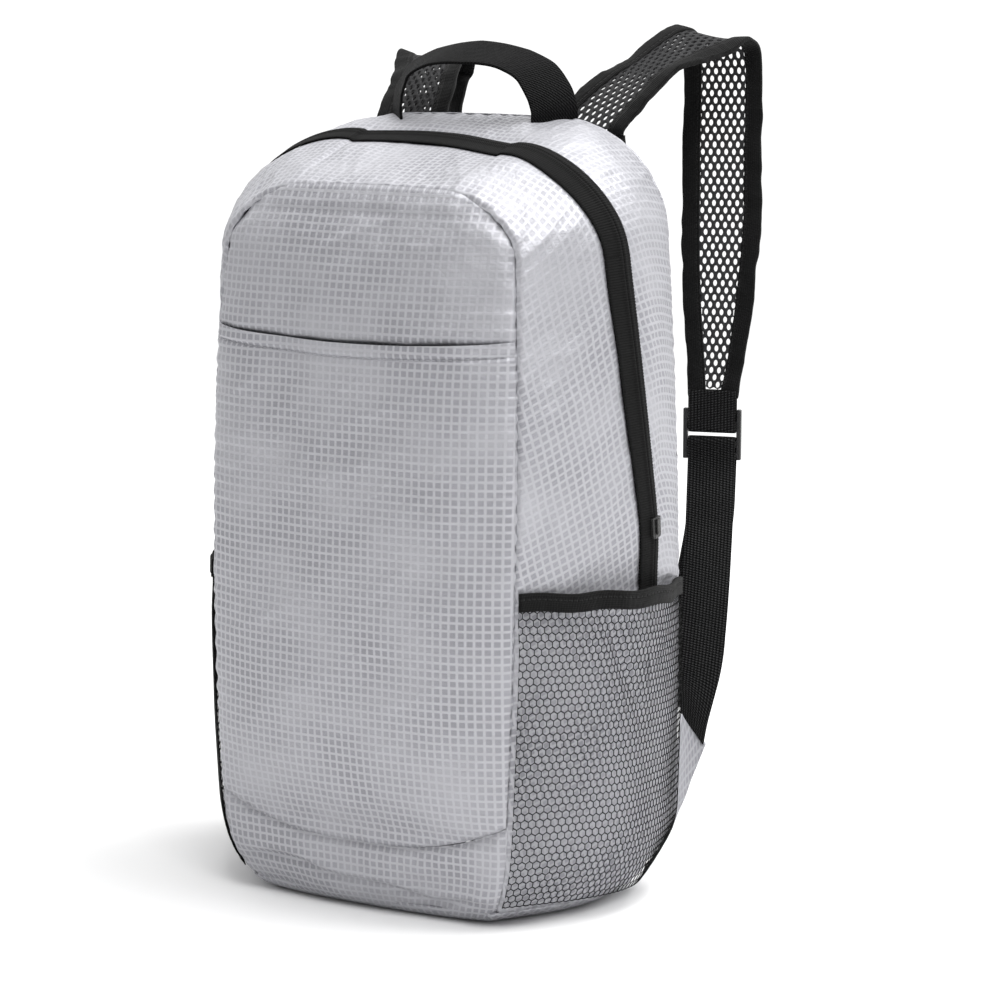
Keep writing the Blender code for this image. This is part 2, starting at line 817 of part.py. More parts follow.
def smooth_route(points, steps):
    """Points along one smooth curve through the given ones, evenly spread between them."""
    spots = [2.0 * points[0] - points[1]] + list(points) + [2.0 * points[-1] - points[-2]]
    spans = len(points) - 1
    route = []
    for step in range(steps + 1):
        at = min(step / steps * spans, spans - 1e-9)
        span = int(at)
        t = at - span
        a, b, c, d = spots[span:span + 4]
        route.append(
            0.5 * ((2.0 * b) + (c - a) * t + (2.0 * a - 5.0 * b + 4.0 * c - d) * t * t
                   + (3.0 * b - a - 3.0 * c + d) * t ** 3)
        )
    return even_route(route, steps)


def even_route(route, steps):
    """The same polyline with its points at equal distances."""
    lengths = [0.0]
    for a, b in zip(route, route[1:]):
        lengths.append(lengths[-1] + (b - a).length)
    spread = []
    span = 0
    for step in range(steps + 1):
        want = lengths[-1] * step / steps
        while span < len(route) - 2 and lengths[span + 1] < want:
            span += 1
        share = (want - lengths[span]) / max(lengths[span + 1] - lengths[span], 1e-9)
        spread.append(mix(route[span], route[span + 1], share))
    return spread


def route_length(route):
    return sum((b - a).length for a, b in zip(route, route[1:]))


def ribbon_frames(route, turn_of):
    """For each point of a route, the way across the ribbon and the way out of its face."""
    frames = []
    last = len(route) - 1
    for index, point in enumerate(route):
        along = (route[min(index + 1, last)] - route[max(index - 1, 0)]).normalized()
        across = turn_of(index / last)
        across = (across - along * across.dot(along)).normalized()
        frames.append((point, across, along.cross(across).normalized()))
    return frames


def ribbon_point(frames, share, across, out):
    """A point of a ribbon at a share of its length, off its centre line by two distances."""
    at = min(max(share, 0.0), 1.0) * (len(frames) - 1)
    index = min(int(at), len(frames) - 2)
    t = at - index
    point = mix(frames[index][0], frames[index + 1][0], t)
    way = mix(frames[index][1], frames[index + 1][1], t).normalized()
    face = mix(frames[index][2], frames[index + 1][2], t).normalized()
    return point + way * across + face * out


def plan_turn(degrees):
    turn = math.radians(degrees)
    return Vector((math.cos(turn), math.sin(turn), 0.0))


def shell_top(x, y):
    """Height of the gusset's outer face over a place near the top."""
    place = x / BACK_HALF_HIGH * SIDE_PATH
    share = 0.8
    step = 0.002
    for _ in range(12):
        here = gusset_point(place, share, folds=False)
        by_place = gusset_point(place + step, share, folds=False) - here
        by_share = gusset_point(place, share + step, folds=False) - here
        grid = by_place.x * by_share.y - by_share.x * by_place.y
        miss_x, miss_y = x - here.x, y - here.y
        place += step * (miss_x * by_share.y - by_share.x * miss_y) / grid
        share += step * (by_place.x * miss_y - miss_x * by_place.y) / grid
        share = min(max(share, 0.0), 1.0)
    return gusset_point(place, share, folds=False).z


def build_handle(looks, collection):
    foot_y = BACK_DEPTH - HANDLE_SETBACK
    foot_z = shell_top(HANDLE_HALF_SPAN, foot_y) + SEAM_GAP
    rows = []
    for side, shape in ((1.0, HANDLE_SHAPE), (-1.0, HANDLE_SHAPE[-2::-1])):
        for out, up, lean, roll in shape:
            x = side * out * HANDLE_HALF_SPAN
            spot = Vector((x, foot_y - lean * HANDLE_LEAN, foot_z + up * HANDLE_RISE))
            rows.append((spot, side * out, roll))
    route = smooth_route([row[0] for row in rows], HANDLE_STEPS)
    count = len(rows) - 1

    def turn(share):
        at = share * count
        index = min(int(at), count - 1)
        out = mix(rows[index][1], rows[index + 1][1], at - index)
        roll = math.radians(mix(rows[index][2], rows[index + 1][2], at - index))
        plan = plan_turn(mix(90.0, HANDLE_FOOT_TURN, abs(out) ** 3))
        plan.x *= math.copysign(1.0, out) if abs(out) > 1e-6 else 0.0
        return Vector((plan.x, plan.y * math.cos(roll), plan.y * math.sin(roll)))

    frames = ribbon_frames(route, turn)

    def webbing(u, v):
        point = ribbon_point(frames, v, mix(-0.5, 0.5, u) * WEBBING_WIDE, 0.0)
        near = 1.0 - min(v, 1.0 - v) * HANDLE_STEPS
        if near > 1e-6:
            seat = shell_top(point.x, min(point.y, BACK_DEPTH - CLOTH)) + HANDLE_SEAT
            point.z = mix(point.z, seat, near)
        return point

    make_sheet("handle", 2, HANDLE_STEPS, webbing, WEBBING_THICK, looks["webbing"], collection, 0.0)


def strap_route(side, table, root_share):
    """Centre line of a strap, from its root on the back panel to its end over the ladder lock."""
    root_out = STRAP_ROOT_OUT * root_share
    root_z = BACK_TOP - STRAP_ROOT_DROP
    behind = back_depth(root_out - 0.5 * STRAP_WIDE, root_z) + 0.5 * STRAP_BINDING_THICK + 2.0 * SEAM_GAP
    spots = [
        Vector((side * root_out, behind, root_z)),
        Vector((side * root_out, behind + STRAP_THICK, BACK_TOP)),
    ]
    for outward, backward, upward in table:
        spots.append(Vector((
            side * mix(root_out, STRAP_END_OUT, outward),
            BACK_DEPTH + backward * STRAP_REACH,
            mix(STRAP_END_HEIGHT, STRAP_APEX, upward),
        )))
    spots.append(lock_centre(side) + Vector((0.0, 0.0, STRAP_END_HEIGHT - lock_top())))
    return smooth_route(spots, STRAP_STEPS)


def lock_top():
    return STRAP_END_HEIGHT - LOCK_DROP


def lock_centre(side):
    """Middle of the ladder lock's top edge."""
    return Vector((side * STRAP_END_OUT, BACK_DEPTH + STRAP_END_BACK * STRAP_REACH, lock_top()))


def build_straps(looks, collection):
    for side, word, table, slopes, root_share in (
        (-1.0, "left", LEFT_ROUTE, LEFT_SLOPE, LEFT_ROOT_SHARE),
        (1.0, "right", RIGHT_ROUTE, RIGHT_SLOPE, 1.0),
    ):
        route = strap_route(side, table, root_share)

        def turn(share):
            way = plan_turn(STRAP_TURN * smooth(share * 2.0))
            return Vector((way.x, side * way.y, -side * read_table(slopes, share)))

        frames = ribbon_frames(route, turn)
        mesh_half = 0.5 * STRAP_WIDE - STRAP_BINDING

        def half_at(share):
            """Half the width of the see-through mesh, which tapers towards the lock."""
            taper = max(share - STRAP_TAPER_START, 0.0) / (1.0 - STRAP_TAPER_START)
            return mesh_half * (1.0 - (1.0 - STRAP_TAPER_LEAVES) * taper ** 1.6)

        def mesh_face(u, v):
            share = mix(0.01, 0.99, v)
            away = mix(-1.0, 1.0, u) * (half_at(share) - STRAP_BINDING_GAP)
            return ribbon_point(frames, share, away, 0.0)

        size = (2.0 * mesh_half, route_length(route))
        make_net(
            "strap_mesh_" + word, STRAP_CELLS, STRAP_STRAND, size, mesh_face, (STRAP_THICK, 0.0),
            looks["net"], collection, Vector((0.0, 1.0, 0.0)),
        )
        for edge, place in ((-1.0, "inner"), (1.0, "outer")):
            def band(u, v):
                away = half_at(v) + STRAP_BINDING * u
                return ribbon_point(frames, v, side * edge * away, 0.0)

            make_sheet(
                "strap_binding_" + place + "_" + word, 1, STRAP_STEPS, band, STRAP_BINDING_THICK,
                looks["trim"], collection, 0.0,
            )
        build_lock(side, word, looks, collection)
        build_loop(side, word, looks, collection)
        build_webbing(side, word, looks, collection)
        build_tab(side, word, looks, collection)


def lock_axes(side):
    way = plan_turn(STRAP_TURN)
    across = Vector((way.x, side * way.y, 0.0))
    return across, Vector((0.0, 0.0, 1.0)), Vector((-side * way.y, way.x, 0.0))


def lock_levels():
    """Heights of the lock's bars below its top: upper bar, slot and middle bar."""
    upper = LOCK_NOTCH
    slot = upper + LOCK_BAR
    turns = 2.0 * (WEBBING_THICK + TURN_ROOM)
    middle = slot + turns + LOCK_GAP
    return upper, slot, middle


def build_lock(side, word, looks, collection):
    """Ladder lock: two rails joined by three bars, cut from one block."""
    name = "ladder_lock_" + word
    centre = lock_centre(side)
    turn = side * math.radians(STRAP_TURN)
    inner = WEBBING_WIDE + 2.0 * LOCK_SIDE_CLEAR
    upper, slot, middle = lock_levels()
    bpy.ops.mesh.primitive_cube_add(size=1.0)
    lock = bpy.context.object
    lock.name = name
    lock.data.name = name
    for vertex in lock.data.vertices:
        vertex.co.x *= inner + 2.0 * LOCK_RAIL
        vertex.co.y *= LOCK_THICK
        vertex.co.z = (vertex.co.z - 0.5) * LOCK_TALL
    for old in list(lock.users_collection):
        old.objects.unlink(lock)
    collection.objects.link(lock)
    lock.location = centre
    lock.rotation_euler = (0.0, 0.0, turn)
    lock.data.materials.append(looks["plastic"])
    low_bar = middle + LOCK_BAR
    cuts = (
        ("notch", -0.002, upper),
        ("slot", slot, middle),
        ("lower", low_bar, LOCK_TALL - LOCK_BAR),
    )
    for label, start, end in cuts:
        bpy.ops.mesh.primitive_cube_add(size=1.0)
        cutter = bpy.context.object
        cutter.name = name + "_" + label
        for vertex in cutter.data.vertices:
            vertex.co.x *= inner
            vertex.co.y *= LOCK_THICK * 3.0
            vertex.co.z = vertex.co.z * (end - start) - 0.5 * (start + end)
        for old in list(cutter.users_collection):
            old.objects.unlink(cutter)
        bpy.data.collections["cutters"].objects.link(cutter)
        cutter.location = centre
        cutter.rotation_euler = (0.0, 0.0, turn)
        cutter.hide_render = True
        cutter.display_type = "WIRE"
        cut = lock.modifiers.new(label, "BOOLEAN")
        cut.operation = "DIFFERENCE"
        cut.object = cutter
    return lock


def lock_spot(side, across, out, down):
    way, up, face = lock_axes(side)
    return lock_centre(side) + way * across + face * out - up * down


def build_loop(side, word, looks, collection):
    """Webbing loop that hangs the lock's upper bar from the strap's end."""
    upper, slot, _ = lock_levels()
    reach = 0.5 * LOCK_THICK + SEAM_GAP + 0.5 * WEBBING_THICK
    under = slot + TURN_ROOM + 0.5 * WEBBING_THICK
    start = LOOP_START - LOCK_DROP
    turn_from = slot - SEAM_GAP
    spots = [(-reach, start), (-reach, upper)]
    for step in range(TURN_STEPS + 1):
        angle = math.pi * step / TURN_STEPS
        spots.append((-reach * math.cos(angle), turn_from + (under - turn_from) * math.sin(angle)))
    spots += [(reach, upper), (reach, start)]
    make_ribbon("buckle_loop_" + word, side, spots, WEBBING_WIDE, looks, collection)


def make_ribbon(name, side, spots, wide, looks, collection):
    """A short flat strip that follows points in the lock's own plane."""
    way, _, _ = lock_axes(side)

    def place(u, v):
        index = round(v * (len(spots) - 1))
        out, down = spots[index]
        return lock_spot(side, 0.0, out, down) + way * mix(-0.5, 0.5, u) * wide

    make_sheet(name, 1, len(spots) - 1, place, WEBBING_THICK, looks["webbing"], collection, 0.0)


def tab_corners(side):
    """Where the webbing's end meets the tab: its inner and outer corners."""
    way, _, _ = lock_axes(side)
    middle = Vector((side * TAB_OUT, TAB_BACK, TAB_TOP))
    half = way * 0.5 * WEBBING_WIDE * side * TAB_NARROW
    rise = Vector((0.0, 0.0, TAB_SLANT))
    return middle - half + rise, middle + half - rise


def build_webbing(side, word, looks, collection):
    """Adjusting webbing: up from the tab, over the lock's middle bar, and down behind as a free tail."""
    _, _, middle = lock_levels()
    way, _, face = lock_axes(side)
    reach = 0.5 * LOCK_THICK + SEAM_GAP + 0.5 * WEBBING_THICK
    near = 0.5 * (WEBBING_THICK + LAYER_ROOM)
    over = middle - TURN_ROOM - 0.5 * WEBBING_THICK
    turn_from = middle + SEAM_GAP
    inner, outer = tab_corners(side)
    end = 0.5 * (inner + outer)
    end_half = 0.5 * (outer - inner) * side
    down = lock_spot(side, 0.0, 0.0, LOCK_TALL + 2.0 * SEAM_GAP)
    full = (down - end).length

    def layer(share, out):
        """The two layers run side by side from under the lock to the tab and to the tail's end."""
        bow = math.sin(math.pi * share) * WEBBING_BOW
        return mix(down, end, share) + Vector((side * bow, -bow, 0.0)) + face * out

    rows = []
    for step in range(WEBBING_STEPS + 1):
        share = 1.0 - step / WEBBING_STEPS
        narrow = smooth((share - 1.0 + TAB_NARROW_OVER) / TAB_NARROW_OVER)
        half = mix(way * 0.5 * WEBBING_WIDE, end_half, narrow)
        rows.append((layer(share, -mix(reach, near, smooth(share / LAYERS_MEET))), half))
    half = way * 0.5 * WEBBING_WIDE
    rows.append((lock_spot(side, 0.0, -reach, turn_from), half))
    for step in range(1, TURN_STEPS):
        angle = math.pi * step / TURN_STEPS
        lift = (turn_from - over) * math.sin(angle)
        rows.append((lock_spot(side, 0.0, -reach * math.cos(angle), turn_from - lift), half))
    rows.append((lock_spot(side, 0.0, reach, turn_from), half))
    for step in range(TAIL_STEPS + 1):
        share = TAIL_LONG / full * step / TAIL_STEPS
        shift = way * (-side * TAIL_SHIFT * smooth((share - TAIL_SHIFT_FROM) / TAIL_SHIFT_OVER))
        rows.append((layer(share, mix(reach, near, smooth(share / LAYERS_MEET))) + shift, half))
    count = len(rows) - 1

    def place(u, v):
        spot, half = rows[round(v * count)]
        return spot + half * mix(-1.0, 1.0, u)

    make_sheet("webbing_" + word, 1, count, place, WEBBING_THICK, looks["webbing"], collection, 0.0)


def build_tab(side, word, looks, collection):
    """Cloth tab between the back's side seam and the webbing's end."""
    inner, outer = tab_corners(side)
    along = (outer - inner).normalized()
    away = Vector((-along.z, 0.0, along.x)) * (0.5 * WEBBING_THICK + SEAM_GAP)
    if away.z > 0.0:
        away.negate()
    behind = BACK_DEPTH + CLOTH + 2.0 * SEAM_GAP
    seam_high = Vector((side * (back_half(TAB_TOP) - POCKET_MARGIN), behind, TAB_TOP - TAB_SLANT))
    seam_low = base_tuck(Vector((side * back_half(TAB_LOW), BACK_DEPTH, TAB_LOW)))
    seam_low = Vector((seam_low.x, behind, TAB_LOW))

    def place(u, v):
        return mix(mix(seam_high, seam_low, u), mix(inner, outer, u) + away, v)

    make_sheet("strap_tab_" + word, 3, 4, place, CLOTH, looks["silver"], collection, 0.0)


def main():
    clear_scene()
    collection = make_collection("ultralight_backpack")
    make_collection("cutters", hidden=True)
    looks = {
        "silver": make_material("silver_cloth", SILVER),
        "webbing": make_material("black_webbing", BLACK_WEBBING),
        "net": make_material("black_net", BLACK_NET),
        "trim": make_material("black_trim", BLACK_TRIM),
        "plastic": make_material("black_plastic", BLACK_PLASTIC),
    }
    build_front(looks, collection)
    build_slip_pocket(looks, collection)
    build_gusset(looks, collection)
    build_slider(looks, collection)
    build_back(looks, collection)
    build_bottom(looks, collection)
    build_pockets(looks, collection)
    build_handle(looks, collection)
    build_straps(looks, collection)


main()
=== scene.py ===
"""Looks of the ultralight backpack: cloth, zip, nets, webbing and straps round the fixed frame.

Every piece is built from named sizes in metres, in the frame of the solids: +Z up, the slip pocket
faces -Y, the wearer's back is at +Y and the origin is on the floor under the base.
"""

import logging
import math
from dataclasses import dataclass, field
from enum import Enum
from typing import Callable, Sequence

import bmesh
import bpy
import numpy as np
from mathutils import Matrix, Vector

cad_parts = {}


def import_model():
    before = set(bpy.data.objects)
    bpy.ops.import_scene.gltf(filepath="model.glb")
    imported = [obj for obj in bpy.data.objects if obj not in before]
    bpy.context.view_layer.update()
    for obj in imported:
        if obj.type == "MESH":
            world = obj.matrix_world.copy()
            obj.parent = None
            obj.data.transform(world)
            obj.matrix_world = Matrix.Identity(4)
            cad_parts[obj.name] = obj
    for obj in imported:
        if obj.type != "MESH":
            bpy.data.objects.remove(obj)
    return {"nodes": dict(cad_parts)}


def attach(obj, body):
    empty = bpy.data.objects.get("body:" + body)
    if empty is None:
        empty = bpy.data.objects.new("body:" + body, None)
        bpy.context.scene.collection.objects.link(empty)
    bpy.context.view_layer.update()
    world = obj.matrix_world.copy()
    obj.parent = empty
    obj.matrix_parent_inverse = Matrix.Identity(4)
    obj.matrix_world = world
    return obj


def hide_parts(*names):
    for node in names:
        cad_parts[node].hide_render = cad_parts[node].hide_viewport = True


LOG = logging.getLogger("backpack")
UV_NAME = "metres"
GAP = 0.0003
CLOTH = 0.0012
SEAM_ROLL = 0.0012
SEAM_WIDE = 0.0026
NEXT_EDGE = 0.4
INSIDE = (0.0, -0.008, 0.2)
SECTION_POINTS = 16

Array = np.ndarray
Colour = tuple[float, float, float]
Socket = bpy.types.NodeSocket


class Side(Enum):
    """The two sides of the pack, by the sign of their X."""

    LEFT = -1.0
    RIGHT = 1.0

    @property
    def word(self) -> str:
        """The side's word in piece names."""
        return self.name.lower()


class Slot(Enum):
    """The record's material slots."""

    SILVER = "silver_cloth"
    WEBBING = "black_webbing"
    NET = "black_net"
    TRIM = "black_trim"
    PLASTIC = "black_plastic"


# Plain helpers


def mix(a: Array, b: Array, share: Array) -> Array:
    """Linear mix of two values or arrays."""
    return a + (b - a) * share


def smooth(x: Array) -> Array:
    """Soft step from 0 to 1."""
    x = np.clip(x, 0.0, 1.0)
    return x * x * (3.0 - 2.0 * x)


def unit(v: Array) -> Array:
    """Vectors of the last axis at length 1."""
    return v / np.maximum(np.linalg.norm(v, axis=-1, keepdims=True), 1e-12)


def vectors(x: Array, y: Array, z: Array) -> Array:
    """Points from three arrays of one shape."""
    x, y, z = np.broadcast_arrays(x, y, z)
    return np.stack([x, y, z], axis=-1).astype(float)


def gone(points: Array) -> Array:
    """Length of the way to each point of a line."""
    return np.concatenate([[0.0], np.cumsum(np.linalg.norm(np.diff(points, axis=0), axis=1))])


def read_rows(rows: Sequence[tuple[float, float]], place: Array) -> Array:
    """Reads a two-column table whose first column runs downwards, softly between its rows.

    Args:
        rows: pairs of place and value.
        place: where to read.

    Returns:
        The values, of the place's shape.
    """
    place = np.asarray(place, float)
    out = np.where(place > rows[0][0], rows[0][1], rows[-1][1]).astype(float)
    for (a, first), (b, second) in zip(rows, rows[1:]):
        inside = (place <= a) & (place >= b)
        out = np.where(inside, mix(first, second, smooth((a - place) / (a - b))), out)
    return out


def zip_path(place: Array) -> Array:
    """Share across the gusset of the zip's middle, with the table's turns rounded off.

    Args:
        place: places along the arch.

    Returns:
        Shares between the seams.
    """
    fine = np.linspace(-1.3, 1.3, 1041)
    ease = np.exp(-0.5 * (np.linspace(-3.0, 3.0, 121)) ** 2)
    path = np.convolve(read_rows(ZIP_PLACES, fine), ease / ease.sum(), mode="same")
    return np.interp(place, fine, path)


class Noise:
    """Seeded smooth noise from 0 to 1 on a square lattice."""

    def __init__(self, seed: int) -> None:
        """Draws the lattice."""
        self.table = np.random.default_rng(seed).random((256, 256))

    def at(self, x: Array, y: Array) -> Array:
        """The noise at places given in lattice steps.

        Args:
            x: places across.
            y: places along.

        Returns:
            Values from 0 to 1.
        """
        x, y = np.broadcast_arrays(np.asarray(x, float), np.asarray(y, float))
        ix, iy = np.floor(x).astype(int), np.floor(y).astype(int)
        fx, fy = smooth(x - ix), smooth(y - iy)
        a = self.table[ix & 255, iy & 255]
        b = self.table[(ix + 1) & 255, iy & 255]
        c = self.table[ix & 255, (iy + 1) & 255]
        d = self.table[(ix + 1) & 255, (iy + 1) & 255]
        return mix(mix(a, b, fx), mix(c, d, fx), fy)

    def cloud(self, x: Array, y: Array, octaves: int = 3) -> Array:
        """Soft noise of several sizes, from about -1 to 1."""
        total = sum((self.at(x * 2 ** k + 7.3 * k, y * 2 ** k) - 0.5) * 0.55 ** k for k in range(octaves))
        return total * 2.0

    def creases(self, x: Array, y: Array, octaves: int = 3) -> Array:
        """Noise of sharp ridges between soft hollows, from 0 to about 1.

        Args:
            x: places across.
            y: places along.
            octaves: how many sizes of ridge.

        Returns:
            Values from 0 to about 1.
        """
        total = 0.0
        for k in range(octaves):
            ridge = 1.0 - np.abs(2.0 * self.at(x * 2 ** k + 5.1 * k, y * 2 ** k + 3.7 * k) - 1.0)
            total = total + ridge ** 3 * 0.5 ** k
        return total


def fold_depth(folds: Sequence[tuple[float, ...]], u: Array, v: Array) -> Array:
    """How far the folds of a table press the cloth in.

    Args:
        folds: rows of from across, from along, to across, to along, width and depth.
        u: places across.
        v: places along.

    Returns:
        Depths in metres.
    """
    depth = np.zeros(np.broadcast(u, v).shape)
    for u0, v0, u1, v1, width, deep in folds:
        du, dv = u1 - u0, v1 - v0
        along = np.clip(((u - u0) * du + (v - v0) * dv) / (du * du + dv * dv), 0.0, 1.0)
        away = np.hypot(u - u0 - along * du, v - v0 - along * dv)
        depth += deep * (1.0 - 0.8 * along) * np.exp(-((away / width) ** 2))
    return depth


# The sewn body's surfaces

ZIP_PLACES = (
    (1.00, 0.74), (0.76, 0.70), (0.66, 0.57), (0.51, 0.455), (0.38, 0.385), (0.16, 0.465),
    (0.00, 0.61), (-0.29, 0.59), (-0.57, 0.54), (-0.76, 0.66), (-1.00, 0.72),
)

# Columns: across from, height from, across to, height to (shares), width share, depth in metres
FRONT_FOLDS = (
    (-0.95, 0.93, -0.30, 0.84, 0.10, 0.0024),
    (0.95, 0.94, 0.35, 0.80, 0.11, 0.0030),
    (0.98, 0.55, 0.40, 0.42, 0.12, 0.0018),
    (-0.98, 0.40, -0.55, 0.20, 0.12, 0.0020),
    (0.98, 0.22, 0.45, 0.06, 0.12, 0.0022),
    (-0.45, 0.70, -0.62, 0.30, 0.22, 0.0040),
)

# Columns: arch place from, share from, arch place to, share to, width, depth in metres
SIDE_FOLDS = (
    (0.88, 0.05, 0.74, 0.55, 0.055, 0.0030),
    (0.72, 0.04, 0.62, 0.50, 0.045, 0.0026),
    (0.57, 0.05, 0.50, 0.55, 0.045, 0.0024),
    (0.32, 0.05, 0.25, 0.60, 0.070, 0.0030),
    (0.67, 0.75, 0.60, 1.00, 0.035, 0.0024),
    (0.08, 0.05, 0.02, 0.55, 0.050, 0.0016),
)


@dataclass(frozen=True)
class Seam:
    """One arched seam, from foot over the top to foot."""

    half_low: float
    half_high: float
    side_bow: float
    top: float
    corner_wide: float
    corner_tall: float
    rise: float = 0.0045
    side_path: float = 0.50
    corner_path: float = 0.16

    def half(self, z: Array) -> Array:
        """Half the width at a height."""
        share = np.minimum(z / (self.top - self.corner_tall), 1.0)
        return mix(self.half_low, self.half_high, share) + self.side_bow * 4.0 * share * (1.0 - share)

    def over(self, x: Array) -> Array:
        """Height of the seam over a place across.

        Args:
            x: places across.

        Returns:
            Heights.
        """
        into = np.clip((np.abs(x) - (self.half_high - self.corner_wide)) / self.corner_wide, 0.0, 1.0)
        crown = self.rise * (1.0 - (x / self.half_high) ** 2)
        return self.top + crown * (1.0 - into) - self.corner_tall * (1.0 - np.sqrt(1.0 - into * into))

    def arch(self, place: Array, low: float) -> tuple[Array, Array]:
        """Points of the seam.

        Args:
            place: from 1 at the right foot over 0 at the top to -1 at the left foot.
            low: height of the feet.

        Returns:
            X and Z of the points.
        """
        side = np.where(place >= 0.0, 1.0, -1.0)
        p = np.abs(place)
        z_side = mix(self.top - self.corner_tall, low, (p - self.side_path) / (1.0 - self.side_path))
        turn = np.clip((self.side_path - p) / (self.side_path - self.corner_path), 0.0, 1.0) * math.pi / 2.0
        x_corner = self.half_high - self.corner_wide * (1.0 - np.cos(turn))
        x_top = (self.half_high - self.corner_wide) * p / self.corner_path
        x_arc = np.where(p >= self.corner_path, x_corner, x_top)
        x = np.where(p >= self.side_path, self.half(z_side), x_arc)
        z = np.where(p >= self.side_path, z_side, self.over(np.minimum(x_arc, self.half_high)))
        return side * x, z


@dataclass(frozen=True)
class Body:
    """Sizes of the sewn body and the surfaces that follow from them."""

    front: Seam = Seam(0.0860, 0.0905, 0.0060, 0.3840, 0.0430, 0.0350)
    back: Seam = Seam(0.1200, 0.1150, 0.0055, 0.4160, 0.0610, 0.0610)
    front_depth_low: float = 0.0740
    front_depth_high: float = 0.0640
    front_depth_bow: float = 0.0050
    front_crown: float = 0.0180
    crown_least: float = 0.30
    base_seam_middle: float = 0.0400
    base_seam_end: float = 0.0585
    base_seam_power: float = 2.5
    back_depth: float = 0.0550
    back_crown: float = 0.0050
    side_bulge: float = 0.0180
    top_bulge: float = 0.0010
    rounding: float = 0.0480
    share_wide: float = 0.79
    share_deep: float = 0.74
    corner_pull: float = 0.10
    middle: float = -0.0080
    seam_low: float = 0.0080
    mouth_front: float = 0.1830
    mouth_back: float = 0.1740
    pocket_slack: float = 0.0045
    pocket_clear: float = 0.0010
    recess: float = 0.0050
    recess_blend: float = 0.0450
    recess_start: float = 0.80

    def front_depth(self, z: Array) -> Array:
        """How far forward the front seam stands at a height.

        Args:
            z: heights.

        Returns:
            Distances ahead of the origin.
        """
        share = np.minimum(z / self.front.top, 1.0)
        bow = self.front_depth_bow * 4.0 * share * (1.0 - share)
        return mix(self.front_depth_low, self.front_depth_high, share) + bow

    def tuck(self, point: Array) -> Array:
        """Pulls the walls in over their last stretch above the floor.

        Args:
            point: points of the upright walls.

        Returns:
            The points, pulled in.
        """
        down = np.clip(1.0 - np.maximum(point[..., 2], 0.0) / self.rounding, 0.0, 1.0)
        pull = 1.0 - np.sqrt(np.maximum(1.0 - down * down, 0.0))
        x = point[..., 0]
        y = point[..., 1] - self.middle
        depth = np.where(y > 0.0, self.back_depth, self.front_depth_low)
        corner = self.corner_pull * (np.abs(x) / self.back.half_low) ** 2 * (y / depth) ** 2
        wide = 1.0 - (1.0 - self.share_wide + corner) * pull
        deep = 1.0 - (1.0 - self.share_deep + corner) * pull
        return vectors(x * wide, self.middle + y * deep, point[..., 2])

    def front_seam(self, place: Array) -> Array:
        """Points of the front seam along its arch."""
        x, z = self.front.arch(place, self.seam_low)
        return vectors(x, -self.front_depth(z), z)

    def back_seam(self, place: Array) -> Array:
        """Points of the back seam along its arch."""
        x, z = self.back.arch(place, self.seam_low)
        return vectors(x, np.full_like(x, self.back_depth), z)

    def mouth(self, share: Array) -> Array:
        """Height of the net pockets' mouth across the side."""
        return mix(self.mouth_front, self.mouth_back, share)

    def gusset(self, place: Array, share: Array) -> Array:
        """Points of the band between the seams.

        Args:
            place: along the arch, from 1 to -1.
            share: from the front seam, 0, to the back seam, 1.

        Returns:
            Points of the outer face, without fine wrinkles.
        """
        place, share = np.broadcast_arrays(np.asarray(place, float), np.asarray(share, float))
        step = 0.004
        s = share[..., None]
        ahead = mix(self.front_seam(place - step), self.back_seam(place - step), s)
        behind = mix(self.front_seam(place + step), self.back_seam(place + step), s)
        along = ahead - behind
        out = unit(vectors(along[..., 2], 0.0 * along[..., 0], -along[..., 0]))
        point = mix(self.front_seam(place), self.back_seam(place), s)
        recess = smooth(
            (self.mouth(share) + self.recess_blend * self.recess_start - point[..., 2]) / self.recess_blend
        )
        bulge = np.abs(out[..., 0]) * (self.side_bulge - self.recess * recess)
        bulge = bulge + np.maximum(out[..., 2], 0.0) * self.top_bulge
        arch = np.sin(math.pi * share)
        bulge = bulge - fold_depth(SIDE_FOLDS, np.abs(place), share) / np.maximum(arch, 0.35)
        return self.tuck(point + out * (bulge * arch)[..., None])

    def gusset_width(self, place: Array) -> Array:
        """Distance between the seams at a place along the arch."""
        return np.linalg.norm(self.front_seam(place) - self.back_seam(place), axis=-1)

    def front_wall(self, across: Array, z: Array) -> Array:
        """Points of the front wall.

        Args:
            across: from -1 to 1 between the side seams.
            z: heights.

        Returns:
            Points of the outer face, without fine wrinkles.
        """
        share = np.clip((z - self.base_seam_middle) / (self.front.top - self.base_seam_middle), 0.0, 1.0)
        rise = 1.0 - (2.0 * share - 1.0) ** 6
        low = smooth((self.base_seam_middle - z) / self.base_seam_middle)
        height = mix(np.maximum(rise, self.crown_least), self.crown_least, low)
        lift = self.front_crown * (1.0 - across ** 4) * height
        lift = lift - fold_depth(FRONT_FOLDS, across, share) * (1.0 - across ** 6)
        return self.tuck(vectors(across * self.front.half(z), -self.front_depth(z) - lift, z))

    def base_seam(self, across: Array) -> Array:
        """Height of the seam between front and base."""
        return mix(self.base_seam_end, self.base_seam_middle, 1.0 - np.abs(across) ** self.base_seam_power)

    def pocket(self, side: float, share: Array, z: Array, out: Array) -> Array:
        """Points of a net pocket, a little off the shell and slack at its middle.

        Args:
            side: sign of the side.
            share: from the front seam, 0, to the back seam, 1.
            z: heights.
            out: extra distance off the shell.

        Returns:
            Points of the net.
        """
        front = vectors(side * self.front.half(z), -self.front_depth(z), z)
        back = vectors(side * self.back.half(z), self.back_depth, z)
        bulge = (self.side_bulge + self.pocket_slack) * np.sin(math.pi * share) + self.pocket_clear + out
        point = mix(front, back, share[..., None])
        point[..., 0] += side * bulge
        return self.tuck(point)


BODY = Body()


# Mesh making


